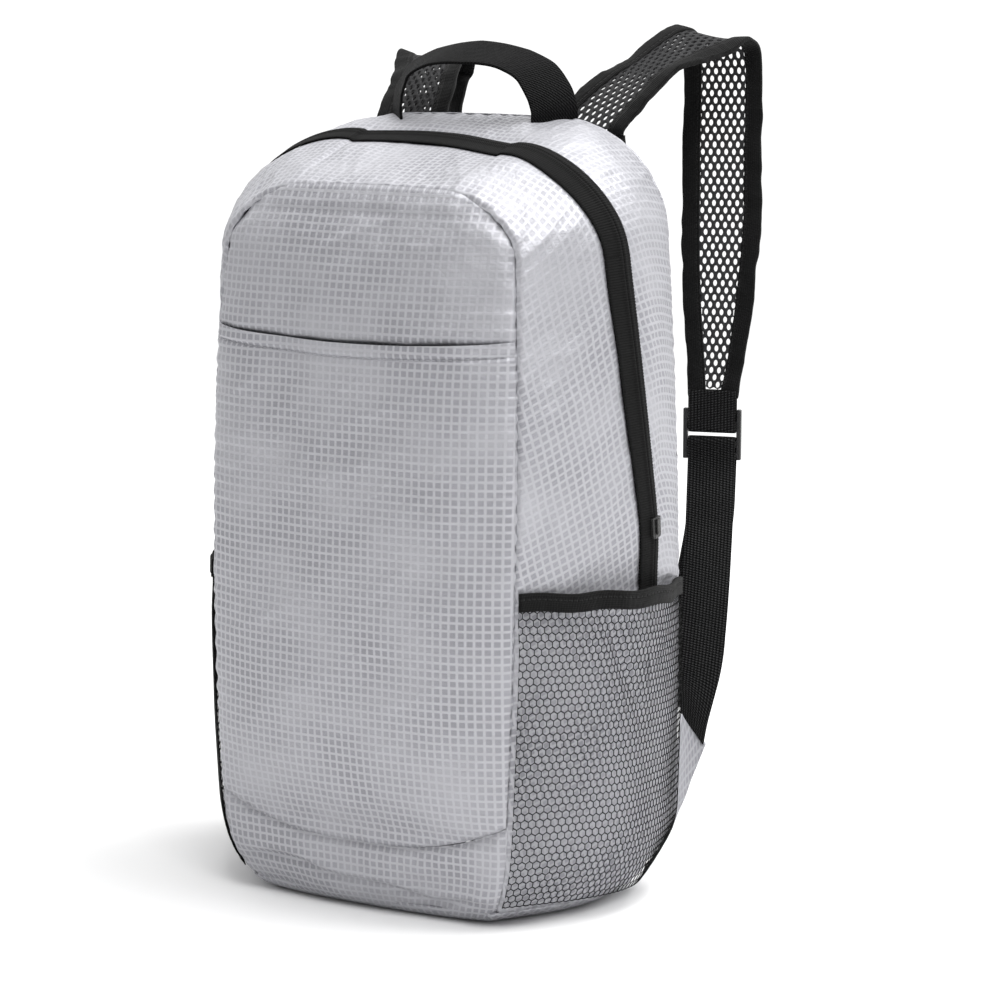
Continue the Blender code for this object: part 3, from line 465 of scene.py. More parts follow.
def surface_normals(points: Array) -> Array:
    """Normals of a grid of points, looking away from the inside.

    Args:
        points: rows by columns by 3.

    Returns:
        Unit normals.
    """
    across = np.gradient(points, axis=1)
    along = np.gradient(points, axis=0)
    normal = unit(np.cross(across, along))
    if np.sum(normal * (points - np.array(INSIDE))) < 0.0:
        normal = -normal
    return normal


def cloth_metres(points: Array, row: int) -> Array:
    """Lengths over a grid of points, across from its first column and along from one of its rows.

    Args:
        points: the grid, rows by columns by 3.
        row: the row where the length along is 0.

    Returns:
        Rows by columns by 2 lengths in metres.
    """
    across = np.zeros(points.shape[:2])
    along = np.zeros(points.shape[:2])
    across[:, 1:] = np.cumsum(np.linalg.norm(np.diff(points, axis=1), axis=-1), axis=1)
    along[1:] = np.cumsum(np.linalg.norm(np.diff(points, axis=0), axis=-1), axis=0)
    along -= along[row:row + 1]
    return np.stack([across, along], axis=-1)


def quads_of(index: Array) -> Array:
    """The faces of a grid of vertex numbers."""
    return np.stack([index[:-1, :-1], index[:-1, 1:], index[1:, 1:], index[1:, :-1]], axis=-1).reshape(-1, 4)


def make_object(name: str, points: Array, faces: Sequence, uv: Array) -> bpy.types.Object:
    """A mesh object with lengths in metres as its UV map.

    Args:
        name: the piece's name.
        points: vertices.
        faces: lists of vertex numbers.
        uv: two lengths for each vertex.

    Returns:
        The new object, smooth shaded.
    """
    mesh = bpy.data.meshes.new(name)
    mesh.from_pydata(points.reshape(-1, 3).tolist(), [], [list(map(int, face)) for face in faces])
    loops = np.empty(len(mesh.loops), np.int32)
    mesh.loops.foreach_get("vertex_index", loops)
    layer = mesh.uv_layers.new(name=UV_NAME)
    layer.data.foreach_set("uv", uv.reshape(-1, 2)[loops].astype(np.float32).ravel())
    mesh.shade_smooth()
    obj = bpy.data.objects.new(name, mesh)
    bpy.context.scene.collection.objects.link(obj)
    return obj


def make_sheet(name: str, points: Array, uv: Array, wall: float) -> bpy.types.Object:
    """A cloth panel from a grid of its outer face.

    Args:
        name: the piece's name.
        points: rows by columns by 3.
        uv: rows by columns by 2, in metres.
        wall: thickness, grown inwards.

    Returns:
        The panel.
    """
    index = np.arange(points.shape[0] * points.shape[1]).reshape(points.shape[:2])
    faces = quads_of(index)
    natural = np.cross(np.gradient(points, axis=1), np.gradient(points, axis=0))
    if np.sum(natural * surface_normals(points)) < 0.0:
        faces = faces[:, ::-1]
    obj = make_object(name, points, faces, uv)
    solid = obj.modifiers.new("wall", "SOLIDIFY")
    solid.thickness = wall
    solid.offset = -1.0
    return obj


@dataclass
class Ribbon:
    """A flat strip's centre line, with the way across it and the way out of its face."""

    points: Array
    across: Array
    face: Array

    @classmethod
    def along(cls, points: Array, turn: Callable[[Array], Array]) -> "Ribbon":
        """Frames along a route.

        Args:
            points: the route.
            turn: gives the wanted way across for shares of the length.

        Returns:
            The ribbon.
        """
        ways = unit(np.gradient(points, axis=0))
        across = turn(np.linspace(0.0, 1.0, len(points)))
        across = unit(across - ways * np.sum(across * ways, axis=1, keepdims=True))
        return cls(points, across, unit(np.cross(ways, across)))

    @property
    def lengths(self) -> Array:
        """Length of the way to each point."""
        return gone(self.points)

    def at(self, share: Array, away: Array, out: Array) -> Array:
        """Points at shares of the length, off the centre line by two distances.

        Args:
            share: shares of the length.
            away: distances across.
            out: distances out of the face.

        Returns:
            Points.
        """
        share, away, out = np.broadcast_arrays(share, away, out)
        where = np.clip(share, 0.0, 1.0) * (len(self.points) - 1)
        index = np.minimum(where.astype(int), len(self.points) - 2)
        t = (where - index)[..., None]
        point = mix(self.points[index], self.points[index + 1], t)
        way = unit(mix(self.across[index], self.across[index + 1], t))
        face = unit(mix(self.face[index], self.face[index + 1], t))
        return point + way * away[..., None] + face * out[..., None]


def spline(rows: Array, steps: int) -> Array:
    """A smooth curve through rows of values.

    Args:
        rows: the values to pass through.
        steps: how many spans the curve gets.

    Returns:
        steps + 1 rows, spread to equal distances by their first three columns.
    """
    rows = np.asarray(rows, float)
    spots = np.concatenate([[2.0 * rows[0] - rows[1]], rows, [2.0 * rows[-1] - rows[-2]]])
    at = np.linspace(0.0, len(rows) - 1 - 1e-9, steps + 1)
    span = at.astype(int)
    t = (at - span)[:, None]
    a, b, c, d = spots[span], spots[span + 1], spots[span + 2], spots[span + 3]
    curve = 0.5 * (
        2.0 * b + (c - a) * t + (2.0 * a - 5.0 * b + 4.0 * c - d) * t * t
        + (3.0 * b - a - 3.0 * c + d) * t ** 3
    )
    passed = gone(curve[:, :3])
    want = np.linspace(0.0, passed[-1], steps + 1)
    return np.stack([np.interp(want, passed, curve[:, k]) for k in range(curve.shape[1])], axis=1)


def sweep(
    name: str, ribbon: Ribbon, low: Array, high: Array, thick: float,
    ruffle: Callable[[Array, Array], Array] | None = None, roundness: float = 0.55,
) -> bpy.types.Object:
    """A closed strip with softly rounded edges.

    Args:
        name: the piece's name.
        ribbon: its frames.
        low: distance of one edge off the centre line, at each frame.
        high: distance of the other edge.
        thick: thickness.
        ruffle: lift of the face for lengths and distances across.
        roundness: power of the section's corners, where 1 is an ellipse and near 0 a box.

    Returns:
        The strip.
    """
    count, ring = len(ribbon.points), SECTION_POINTS
    angle = np.linspace(0.0, 2.0 * math.pi, ring, endpoint=False)
    side = np.sign(np.cos(angle)) * np.abs(np.cos(angle)) ** (roundness * 0.5)
    lift = np.sign(np.sin(angle)) * np.abs(np.sin(angle)) ** roundness
    lengths = ribbon.lengths[:, None] + np.zeros(ring)
    low = np.broadcast_to(low, (count,))[:, None]
    high = np.broadcast_to(high, (count,))[:, None]
    away = mix(low, high, 0.5 + 0.5 * side)
    out = lift * 0.5 * thick + np.zeros((count, 1))
    if ruffle is not None:
        out = out + ruffle(lengths, away)
    shares = np.linspace(0.0, 1.0, count)[:, None]
    points = ribbon.at(shares, away, out)
    index = np.arange(count * ring).reshape(count, ring)
    index = np.concatenate([index, index[:, :1]], axis=1)
    faces = quads_of(index)
    caps = [index[0, :-1][::-1], index[-1, :-1]]
    obj = make_object(name, points, list(faces) + caps, np.stack([away, lengths], axis=-1))
    face_outwards(obj)
    return obj


def make_rods(name: str, a: Array, b: Array, out: Array, size: float) -> bpy.types.Object:
    """Thin four-sided rods between pairs of points.

    Args:
        name: the piece's name.
        a: where the rods start.
        b: where they end.
        out: the way out of the surface at each rod.
        size: half the rods' width.

    Returns:
        All rods as one object.
    """
    way = unit(b - a)
    across = unit(np.cross(out, way))
    out = np.cross(way, across)
    ring = (across, out, -across, -out)
    points = np.stack([a + r * size for r in ring] + [b + r * size for r in ring], axis=1)
    base = (np.arange(len(a)) * 8)[:, None, None]
    sides = ((0, 1, 5, 4), (1, 2, 6, 5), (2, 3, 7, 6), (3, 0, 4, 7), (3, 2, 1, 0), (4, 5, 6, 7))
    quads = np.array(sides)[None] + base
    uv = np.stack([points[..., 1], points[..., 2]], axis=-1)
    return make_object(name, points, quads.reshape(-1, 4), uv)


def make_blocks(
    name: str, blocks: Sequence[tuple[float, ...]], origin: Array, ways: Sequence[Array], soften: float,
) -> bpy.types.Object:
    """Moulded blocks with softened edges, as one object.

    Args:
        name: the piece's name.
        blocks: three places of the middle and three lengths of each block, along the ways.
        origin: where the places are counted from.
        ways: the blocks' three ways.
        soften: width of the softened edges.

    Returns:
        All blocks as one object.
    """
    mesh = bmesh.new()
    for block in blocks:
        for vertex in bmesh.ops.create_cube(mesh, size=1.0)["verts"]:
            steps = [way * (m + c * s) for way, m, s, c in zip(ways, block[:3], block[3:], vertex.co)]
            vertex.co = Vector(origin + sum(steps))
    bmesh.ops.recalc_face_normals(mesh, faces=mesh.faces)
    data = bpy.data.meshes.new(name)
    mesh.to_mesh(data)
    mesh.free()
    data.uv_layers.new(name=UV_NAME)
    obj = bpy.data.objects.new(name, data)
    bpy.context.scene.collection.objects.link(obj)
    soft = obj.modifiers.new("soft_edges", "BEVEL")
    soft.width = soften
    soft.segments = 3
    return obj


def face_outwards(obj: bpy.types.Object) -> None:
    """Turns a closed mesh's faces outwards.

    Args:
        obj: the piece, whose mesh is changed.
    """
    mesh = bmesh.new()
    mesh.from_mesh(obj.data)
    bmesh.ops.recalc_face_normals(mesh, faces=mesh.faces)
    if mesh.calc_volume(signed=True) < 0.0:
        bmesh.ops.reverse_faces(mesh, faces=mesh.faces)
    mesh.to_mesh(obj.data)
    mesh.free()


def dress(obj: bpy.types.Object, material: bpy.types.Material, slot: Slot, *nodes: str) -> None:
    """Gives a piece its material, its body and the solids that it stands for.

    Args:
        obj: the piece.
        material: its finish.
        slot: the record's slot, not used.
        nodes: the solids that it replaces.
    """
    obj.data.materials.clear()
    obj.data.materials.append(material)
    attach(obj, "root")
    if nodes:
        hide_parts(*nodes)
    LOG.info("%s: %d faces", obj.name, len(obj.data.polygons))


# Shader groups


class NodeMaker:
    """Shared ways to place and link nodes in a tree."""

    tree: bpy.types.NodeTree

    def feed(self, node: bpy.types.Node, values: Sequence[object]) -> None:
        """Links sockets and sets numbers on a node's inputs, in order.

        Args:
            node: the node.
            values: a socket or a number for each input.
        """
        for socket, value in zip(node.inputs, values):
            if isinstance(value, Socket):
                self.tree.links.new(value, socket)
            else:
                socket.default_value = value

    def math(self, operation: str, *values: object) -> Socket:
        """A Math node.

        Args:
            operation: what it reckons.
            values: sockets and numbers for its inputs.

        Returns:
            Its output.
        """
        node = self.tree.nodes.new("ShaderNodeMath")
        node.operation = operation
        self.feed(node, values)
        return node.outputs[0]


class GroupMaker(NodeMaker):
    """Small builder for shader node groups of masks, values and normals."""

    def __init__(self, name: str, inputs: Sequence[tuple[str, str, float]], outputs: Sequence[str]) -> None:
        """Opens a group.

        Args:
            name: the group's name.
            inputs: name, socket type and default of each input.
            outputs: names of the value outputs.
        """
        self.tree = bpy.data.node_groups.new(name, "ShaderNodeTree")
        for label, kind, default in inputs:
            socket = self.tree.interface.new_socket(name=label, in_out="INPUT", socket_type=kind)
            if kind == "NodeSocketFloat":
                socket.default_value = default
        for label in outputs:
            self.tree.interface.new_socket(name=label, in_out="OUTPUT", socket_type="NodeSocketFloat")
        self.start = self.tree.nodes.new("NodeGroupInput")
        self.end = self.tree.nodes.new("NodeGroupOutput")

    def get(self, label: str) -> Socket:
        """An input of the group."""
        return self.start.outputs[label]

    def put(self, label: str, value: Socket) -> None:
        """Feeds an output of the group."""
        self.tree.links.new(value, self.end.inputs[label])

    def split(self, vector: Socket) -> list[Socket]:
        """The X and Y of a vector.

        Args:
            vector: the vector.

        Returns:
            Two sockets.
        """
        node = self.tree.nodes.new("ShaderNodeSeparateXYZ")
        self.tree.links.new(vector, node.inputs[0])
        return [node.outputs[0], node.outputs[1]]

    def noise(self, vector: object, scale: object, detail: float, rough: float = 0.5) -> Socket:
        """Noise texture at a vector.

        Args:
            vector: where it is read.
            scale: a number or socket.
            detail: finer layers.
            rough: how strong those are.

        Returns:
            The value, from 0 to 1.
        """
        node = self.tree.nodes.new("ShaderNodeTexNoise")
        node.inputs["Detail"].default_value = detail
        node.inputs["Roughness"].default_value = rough
        self.tree.links.new(vector, node.inputs["Vector"])
        if isinstance(scale, Socket):
            self.tree.links.new(scale, node.inputs["Scale"])
        else:
            node.inputs["Scale"].default_value = scale
        return node.outputs[0]

    def stretch(self, vector: object, x: float, y: float) -> Socket:
        """A vector scaled across and along.

        Args:
            vector: the vector.
            x: factor across.
            y: factor along.

        Returns:
            The scaled vector.
        """
        node = self.tree.nodes.new("ShaderNodeVectorMath")
        node.operation = "MULTIPLY"
        self.tree.links.new(vector, node.inputs[0])
        node.inputs[1].default_value = (x, y, 1.0)
        return node.outputs[0]

    def wave(self, value: object, pitch: object) -> Socket:
        """A wave from 0 to 1 along a length."""
        turns = self.math("MULTIPLY", self.math("DIVIDE", value, pitch), 2.0 * math.pi)
        return self.math("MULTIPLY_ADD", self.math("SINE", turns), 0.5, 0.5)

    def box(self, value: object, pitch: object, share: object, soft: float) -> Socket:
        """A soft-edged band of a share of each pitch.

        Args:
            value: the length.
            pitch: length of one repeat.
            share: part of it that is filled.
            soft: softness of the edges.

        Returns:
            1 inside the band and 0 outside.
        """
        part = self.math("FRACT", self.math("DIVIDE", value, pitch))
        off = self.math("ABSOLUTE", self.math("SUBTRACT", part, 0.5))
        edge = self.math("SUBTRACT", self.math("MULTIPLY", share, 0.5), off)
        node = self.tree.nodes.new("ShaderNodeMath")
        node.operation = "DIVIDE"
        node.use_clamp = True
        self.feed(node, (self.math("ADD", edge, soft), 2.0 * soft))
        return node.outputs[0]


def check_group() -> bpy.types.NodeTree:
    """Cloth woven in small squares: squares, twill inside them, and the cloth's own relief.

    Returns:
        The group.
    """
    made = GroupMaker(
        "check_weave",
        [("Metres", "NodeSocketVector", 0.0), ("Pitch", "NodeSocketFloat", 0.0043),
         ("Square", "NodeSocketFloat", 0.56)],
        ["Squares", "Relief", "Cloud"],
    )
    x, y = made.split(made.get("Metres"))
    across = made.box(x, made.get("Pitch"), made.get("Square"), 0.05)
    along = made.box(y, made.get("Pitch"), made.get("Square"), 0.05)
    squares = made.math("MULTIPLY", across, along)
    twill = made.wave(made.math("ADD", x, y), 0.0009)
    squares = made.math("MULTIPLY", squares, made.math("MULTIPLY_ADD", twill, 0.60, 0.45))
    cloud = made.noise(made.get("Metres"), 18.0, 3.0)
    patchy = made.math("MULTIPLY_ADD", cloud, 3.0, -0.70)
    made.put("Squares", made.math("MULTIPLY", squares, patchy))
    threads = made.math("ADD", made.wave(x, 0.00043), made.wave(y, 0.00043))
    fine = made.math("MULTIPLY", threads, 0.25)
    made.put("Relief", made.math("ADD", fine, made.math("SUBTRACT", 1.0, squares)))
    made.put("Cloud", cloud)
    return made.tree


def crinkle_group() -> bpy.types.NodeTree:
    """Fine crinkles of thin cloth, as one height from 0 to about 1.

    Returns:
        The group.
    """
    made = GroupMaker(
        "cloth_crinkle",
        [("Metres", "NodeSocketVector", 0.0), ("Scale", "NodeSocketFloat", 60.0)],
        ["Height"],
    )
    soft = made.noise(made.get("Metres"), made.get("Scale"), 4.0, 0.6)
    ridge = made.math("ABSOLUTE", made.math("MULTIPLY_ADD", soft, 2.0, -1.0))
    fine = made.noise(made.stretch(made.get("Metres"), 1.0, 1.7), 240.0, 3.0)
    made.put("Height", made.math("MULTIPLY_ADD", fine, 0.25, ridge))
    return made.tree


def rib_group() -> bpy.types.NodeTree:
    """Woven webbing: slanted ribs, cross picks and worn threads, with a painted highlight where the ribs and
    picks rise.

    Returns:
        The group.
    """
    made = GroupMaker(
        "webbing_rib",
        [("Metres", "NodeSocketVector", 0.0), ("Rib", "NodeSocketFloat", 0.0016),
         ("Pick", "NodeSocketFloat", 0.0012), ("Slant", "NodeSocketFloat", 0.6)],
        ["Height", "Crest_highlight"],
    )
    x, y = made.split(made.get("Metres"))
    slanted = made.math("ADD", y, made.math("MULTIPLY", x, made.get("Slant")))
    rib = made.wave(x, made.get("Rib"))
    pick = made.wave(slanted, made.get("Pick"))
    height = made.math("ADD", made.math("MULTIPLY", rib, 0.45), made.math("MULTIPLY", pick, 0.75))
    fuzz = made.noise(made.get("Metres"), 900.0, 2.0)
    made.put("Height", made.math("MULTIPLY_ADD", fuzz, 0.35, height))
    broad = made.noise(made.get("Metres"), 35.0, 3.0)
    # Painted highlight: the weave's crests, where ribs and picks rise together, get a lighter colour, under a
    # broad random tone.
    shade = made.math("MULTIPLY", made.math("MULTIPLY", pick, rib), made.math("ADD", broad, 0.3))
    made.put("Crest_highlight", shade)
    return made.tree


def stitch_group() -> bpy.types.NodeTree:
    """One row of stitches along a strip, at a given distance across.

    Returns:
        The group.
    """
    made = GroupMaker(
        "stitch_row",
        [("Metres", "NodeSocketVector", 0.0), ("Place", "NodeSocketFloat", 0.0),
         ("Pitch", "NodeSocketFloat", 0.0030), ("Width", "NodeSocketFloat", 0.0006)],
        ["Thread", "Groove"],
    )
    x, y = made.split(made.get("Metres"))
    off = made.math("ABSOLUTE", made.math("SUBTRACT", x, made.get("Place")))
    near = made.math("SUBTRACT", 1.0, made.math("DIVIDE", off, made.get("Width")))
    line = made.math("MAXIMUM", near, 0.0)
    dash = made.box(y, made.get("Pitch"), 0.72, 0.06)
    made.put("Thread", made.math("MULTIPLY", line, dash))
    wide = made.math("SUBTRACT", 1.0, made.math("DIVIDE", off, made.math("MULTIPLY", made.get("Width"), 3.0)))
    made.put("Groove", made.math("MAXIMUM", wide, 0.0))
    return made.tree


@dataclass
class Groups:
    """The shader groups, built once."""

    check: bpy.types.NodeTree = field(default_factory=check_group)
    crinkle: bpy.types.NodeTree = field(default_factory=crinkle_group)
    rib: bpy.types.NodeTree = field(default_factory=rib_group)
    stitch: bpy.types.NodeTree = field(default_factory=stitch_group)


class Shader(NodeMaker):
    """One material under construction, with its Principled shader and its lengths in metres."""

    def __init__(self, name: str) -> None:
        """Opens the material.

        Args:
            name: the material's name.
        """
        self.material = bpy.data.materials.new(name)
        self.material.use_nodes = True
        self.tree = self.material.node_tree
        self.bsdf = self.tree.nodes["Principled BSDF"]
        uv = self.tree.nodes.new("ShaderNodeUVMap")
        uv.uv_map = UV_NAME
        self.metres = uv.outputs[0]

    def group(self, tree: bpy.types.NodeTree, **values: float) -> bpy.types.Node:
        """Places a group that reads the lengths in metres, with its own values.

        Args:
            tree: the group.
            values: its own inputs, by name.

        Returns:
            The placed group.
        """
        node = self.tree.nodes.new("ShaderNodeGroup")
        node.node_tree = tree
        self.tree.links.new(self.metres, node.inputs["Metres"])
        for label, value in values.items():
            node.inputs[label].default_value = value
        return node

    def blend(self, share: Socket, a: object, b: object) -> Socket:
        """A colour between two colours.

        Args:
            share: from the first colour, 0, to the second, 1.
            a: a colour or socket.
            b: a colour or socket.

        Returns:
            The colour.
        """
        node = self.tree.nodes.new("ShaderNodeMix")
        node.data_type = "RGBA"
        node.clamp_factor = True
        self.tree.links.new(share, node.inputs[0])
        for socket, value in ((node.inputs[6], a), (node.inputs[7], b)):
            if isinstance(value, Socket):
                self.tree.links.new(value, socket)
            else:
                socket.default_value = (*value, 1.0)
        return node.outputs[2]

    def bump(
        self, height: Socket, distance: float, under: Socket | None = None,
    ) -> Socket:
        """A Bump node over the normal of another.

        Args:
            height: relief from 0 to 1.
            distance: its full height in metres.
            under: a normal that it adds to.

        Returns:
            The normal.
        """
        node = self.tree.nodes.new("ShaderNodeBump")
        node.inputs["Distance"].default_value = distance
        self.tree.links.new(height, node.inputs["Height"])
        if under is not None:
            self.tree.links.new(under, node.inputs["Normal"])
        return node.outputs[0]

    def link(self, value: Socket, socket: str) -> None:
        """Feeds one socket of the Principled shader."""
        self.tree.links.new(value, self.bsdf.inputs[socket])

    def fix(self, **values: float) -> None:
        """Sets constants on the Principled shader, by socket names with underscores for spaces."""
        for label, value in values.items():
            self.bsdf.inputs[label.replace("_", " ")].default_value = value


@dataclass(frozen=True)
class SilverCloth:
    """Thin silver-grey polyester woven in small squares."""

    light: Colour = (0.43, 0.43, 0.458)
    dark: Colour = (0.245, 0.245, 0.267)
    pitch: float = 0.0043
    square: float = 0.68
    roughness: float = 0.44
    metallic: float = 0.38
    crinkle: float = 0.0008
    weave: float = 0.00012

    def build(self, groups: Groups, name: str) -> bpy.types.Material:
        """Makes the material.

        Args:
            groups: the shader groups.
            name: the material's name.

        Returns:
            The material.
        """
        made = Shader(name)
        check = made.group(groups.check, Pitch=self.pitch, Square=self.square)
        crinkle = made.group(groups.crinkle, Scale=55.0)
        made.link(made.blend(check.outputs["Squares"], self.light, self.dark), "Base Color")
        rough = made.math("MULTIPLY_ADD", check.outputs["Squares"], 0.12, self.roughness)
        made.link(rough, "Roughness")
        folds = made.bump(crinkle.outputs["Height"], self.crinkle)
        made.link(made.bump(check.outputs["Relief"], self.weave, folds), "Normal")
        made.fix(Specular_IOR_Level=0.55, Metallic=self.metallic)
        return made.material


@dataclass(frozen=True)
class BlackWeave:
    """Black woven tape: webbing, binding or zip tape, with rows of stitches where it has them and a painted
    highlight on the crests of its weave.
    """

    dark: Colour
    # Colour of the painted highlight on the weave's crests, and of the stitch threads.
    light: Colour
    roughness: float
    rib: float
    pick: float
    slant: float
    relief: float
    stitches: tuple[float, ...] = ()
    sheen: float = 0.0

    def build(self, groups: Groups, name: str) -> bpy.types.Material:
        """Makes the material.

        Args:
            groups: the shader groups.
            name: the material's name.

        Returns:
            The material.
        """
        made = Shader(name)
        weave = made.group(groups.rib, Rib=self.rib, Pick=self.pick, Slant=self.slant)
        crinkle = made.group(groups.crinkle, Scale=90.0)
        shade = weave.outputs["Crest_highlight"]
        normal = made.bump(crinkle.outputs["Height"], 0.0005)
        normal = made.bump(weave.outputs["Height"], self.relief, normal)
        for place in self.stitches:
            row = made.group(groups.stitch, Place=place)
            shade = made.math("MAXIMUM", shade, row.outputs["Thread"])
            sunk = made.math("SUBTRACT", row.outputs["Thread"], row.outputs["Groove"])
            normal = made.bump(sunk, 0.0006, normal)
        # The lighter colour is painted highlight on the crests, plus the stitch threads' own colour.
        made.link(made.blend(shade, self.dark, self.light), "Base Color")
        made.link(normal, "Normal")
        made.fix(Roughness=self.roughness, Specular_IOR_Level=0.08, Sheen_Weight=self.sheen)
        return made.material


@dataclass(frozen=True)
class BlackPlastic:
    """Moulded black plastic with a fine grain."""

    base: Colour = (0.008, 0.008, 0.008)
    roughness: float = 0.22

    def build(self, groups: Groups, name: str) -> bpy.types.Material:
        """Makes the material.

        Args:
            groups: the shader groups.
            name: the material's name.

        Returns:
            The material.
        """
        made = Shader(name)
        grain = made.group(groups.crinkle, Scale=400.0)
        worn = made.math("MULTIPLY_ADD", grain.outputs["Height"], 0.18, self.roughness)
        made.link(worn, "Roughness")
        made.link(made.bump(grain.outputs["Height"], 0.00008), "Normal")
        made.link(made.blend(grain.outputs["Height"], self.base, (0.016, 0.016, 0.016)), "Base Color")
        made.fix(Specular_IOR_Level=0.5)
        return made.material


@dataclass
class Finishes:
    """All the pack's materials."""

    groups: Groups = field(default_factory=Groups)

    def __post_init__(self) -> None:
        """Builds each material once."""
        g = self.groups
        self.cloth = SilverCloth().build(g, "silver_check_cloth")
        self.inner = SilverCloth(light=(0.52, 0.52, 0.56)).build(g, "silver_inner_cloth")
        self.webbing = BlackWeave(
            (0.002, 0.002, 0.002), (0.050, 0.050, 0.051), 0.62, 0.0019, 0.0014, 0.20, 0.0006
        ).build(g, "ribbed_webbing")
        self.twill = BlackWeave(
            (0.002, 0.002, 0.002), (0.014, 0.014, 0.015), 0.60, 0.0016, 0.0020, 1.2, 0.0006
        ).build(g, "twill_webbing")
        self.binding = BlackWeave(
            (0.004, 0.004, 0.004), (0.014, 0.014, 0.014), 0.85, 0.0011, 0.0009, 0.2, 0.0002,
            stitches=(0.0016,), sheen=0.06,
        ).build(g, "soft_binding")
        self.net = BlackWeave(
            (0.006, 0.006, 0.006), (0.016, 0.016, 0.016), 0.55, 0.0008, 0.0008, 0.5, 0.0001
        ).build(g, "net_thread")
        self.spacer = BlackWeave(
            (0.020, 0.020, 0.021), (0.110, 0.110, 0.112), 0.60, 0.0007, 0.0006, 0.8, 0.0002
        ).build(g, "spacer_net_thread")
        self.tape = BlackWeave(
            (0.005, 0.005, 0.005), (0.016, 0.016, 0.016), 0.70, 0.0007, 0.0014, 0.0, 0.0003
        ).build(g, "zip_tape_cloth")
        self.plastic = BlackPlastic().build(g, "moulded_plastic")


# Body pieces


@dataclass
class Shell:
    """The sewn shell: front, slip pocket, gusset, back and base."""

    body: Body
    looks: Finishes
    columns: int = 120
    rows: int = 210
    arch_rows: int = 620
    hem_height: float = 0.3120
    hem_dip: float = 0.0040
    hem_fold: float = 0.0072
    slip_depth: float = 0.0105
    slip_blend: float = 0.0110
    slip_start: float = 0.0030
    top_sink: float = 0.0046
    top_sink_wide: float = 0.0075
    pucker_reach: float = 0.012
    pucker: float = 0.00045
    stitch: float = 0.0031
    pucker_pitch: float = 0.0105
    grain_lean: float = 0.28
    grain_ease: float = -0.07
    zip_end: float = 0.756
    zip_closing: float = 0.008
    wave_wide: float = 0.050
    wave_long: float = 0.070
    wave_deep: float = 0.0017
    crease_long: float = 0.055
    crease_wide: float = 0.026
    crease_deep: float = 0.0014
    crumple_mean: float = 0.0008
    calm: float = 0.020
    top_start: float = 0.335
    top_blend: float = 0.035
    groove_deep: float = 0.0016
    groove_wide: float = 0.0012
    hem_groove_deep: float = 0.0009
    hem_groove_wide: float = 0.0013
    hem_wave_deep: float = 0.0007
    hem_wave_long: float = 0.016
    hem_wave_reach: float = 0.020
    hem_step: float = 0.0006
    hem_step_wide: float = 0.002
    hem_calm: float = 0.030
    stitch_start: float = 0.004
    stitch_end: float = 0.005
    stitch_share: float = 0.68
    thread: float = 0.00026
    thread_lift: float = 0.0003
    gusset_calm: float = 0.016
    gusset_roll: float = 0.0024
    gusset_roll_wide: float = 0.0017
    seam_clear: float = 0.0004
    tape_half: float = 0.009
    tape_cover: float = 0.0015
    tape_overlap: float = 0.0012
    zip_ripple: float = 0.0004
    zip_ripple_pitch: float = 0.013
    zip_ripple_reach: float = 0.014
    zip_calm: float = 0.012
    zip_sink: float = 0.0003
    net_blend: float = 0.020
    net_crease_wide: float = 0.030
    net_crease_long: float = 0.022
    net_crease_deep: float = 0.0011
    tuck_wide: float = 0.0022
    tuck_deep: float = 0.0018
    tuck_roll: float = 0.0012
    floor_clear: float = 0.0002
    noise: Noise = field(default_factory=lambda: Noise(11))

    def puckers(
        self, off: Array, along: Array, roll: Array = SEAM_ROLL, wide: Array = SEAM_WIDE,
    ) -> Array:
        """Height of the roll and the puckers beside a seam.

        Args:
            off: distance from the seam.
            along: length along the seam.
            roll: how deep the cloth turns in at the seam.
            wide: how far from the seam it turns in.

        Returns:
            Heights to add along the normal.
        """
        uneven = self.noise.at(along / 0.013, along * 0.0 + 3.0)
        wave = np.sin(2.0 * math.pi * along / self.pucker_pitch + 4.0 * uneven)
        ripple = self.pucker * (0.4 + uneven) * wave * np.exp(-off / self.pucker_reach)
        return ripple - roll * np.exp(-((off / wide) ** 2))

    def crumple(self, uv: Array, scale: float = 1.0) -> Array:
        """Soft waves and crinkles all over a panel.

        Args:
            uv: lengths over the panel.
            scale: share of the full height.

        Returns:
            Heights to add along the normal.
        """
        s, t = uv[..., 0], uv[..., 1]
        broad = self.noise.cloud(s / self.wave_wide + 9.0, t / self.wave_long, 2) * self.wave_deep
        lean = self.noise.creases((s + 0.6 * t) / self.crease_long, (t - 0.5 * s) / self.crease_wide, 3)
        return scale * (broad + lean * self.crease_deep - self.crumple_mean)

    def cover(self, name: str, node: str, points: Array, uv: Array, lift: Array) -> None:
        """Raises a panel by its wrinkles, gives it its wall and dresses it.

        Args:
            name: the piece's name.
            node: the solid that it stands for.
            points: the smooth outer face, raised in place.
            uv: lengths over the panel.
            lift: heights along the normals.
        """
        points += surface_normals(points) * lift[..., None]
        points[..., 2] = np.maximum(points[..., 2], self.floor_clear)
        dress(make_sheet(name, points, uv, CLOTH), self.looks.cloth, Slot.SILVER, node)

    @staticmethod
    def nearer(off_side: Array, off_end: Array, uv: Array) -> tuple[Array, Array]:
        """Finds the nearer edge of a panel.

        Args:
            off_side: distance from the side edges.
            off_end: distance from the upper or lower edge.
            uv: lengths over the panel.

        Returns:
            Distance from the nearer edge, and length along it.
        """
        along = np.where(off_side < off_end, uv[..., 1], NEXT_EDGE + uv[..., 0])
        return np.minimum(off_side, off_end), along

    def hem(self, across: Array) -> Array:
        """Height of the slip pocket's hem."""
        return self.hem_height - self.hem_dip * (1.0 - across ** 2)

    def side_room(self, across: Array, seam: Seam, z: Array) -> Array:
        """Distance from the nearer side edge of a front or back panel."""
        return (1.0 - np.abs(across)) * seam.half(z)

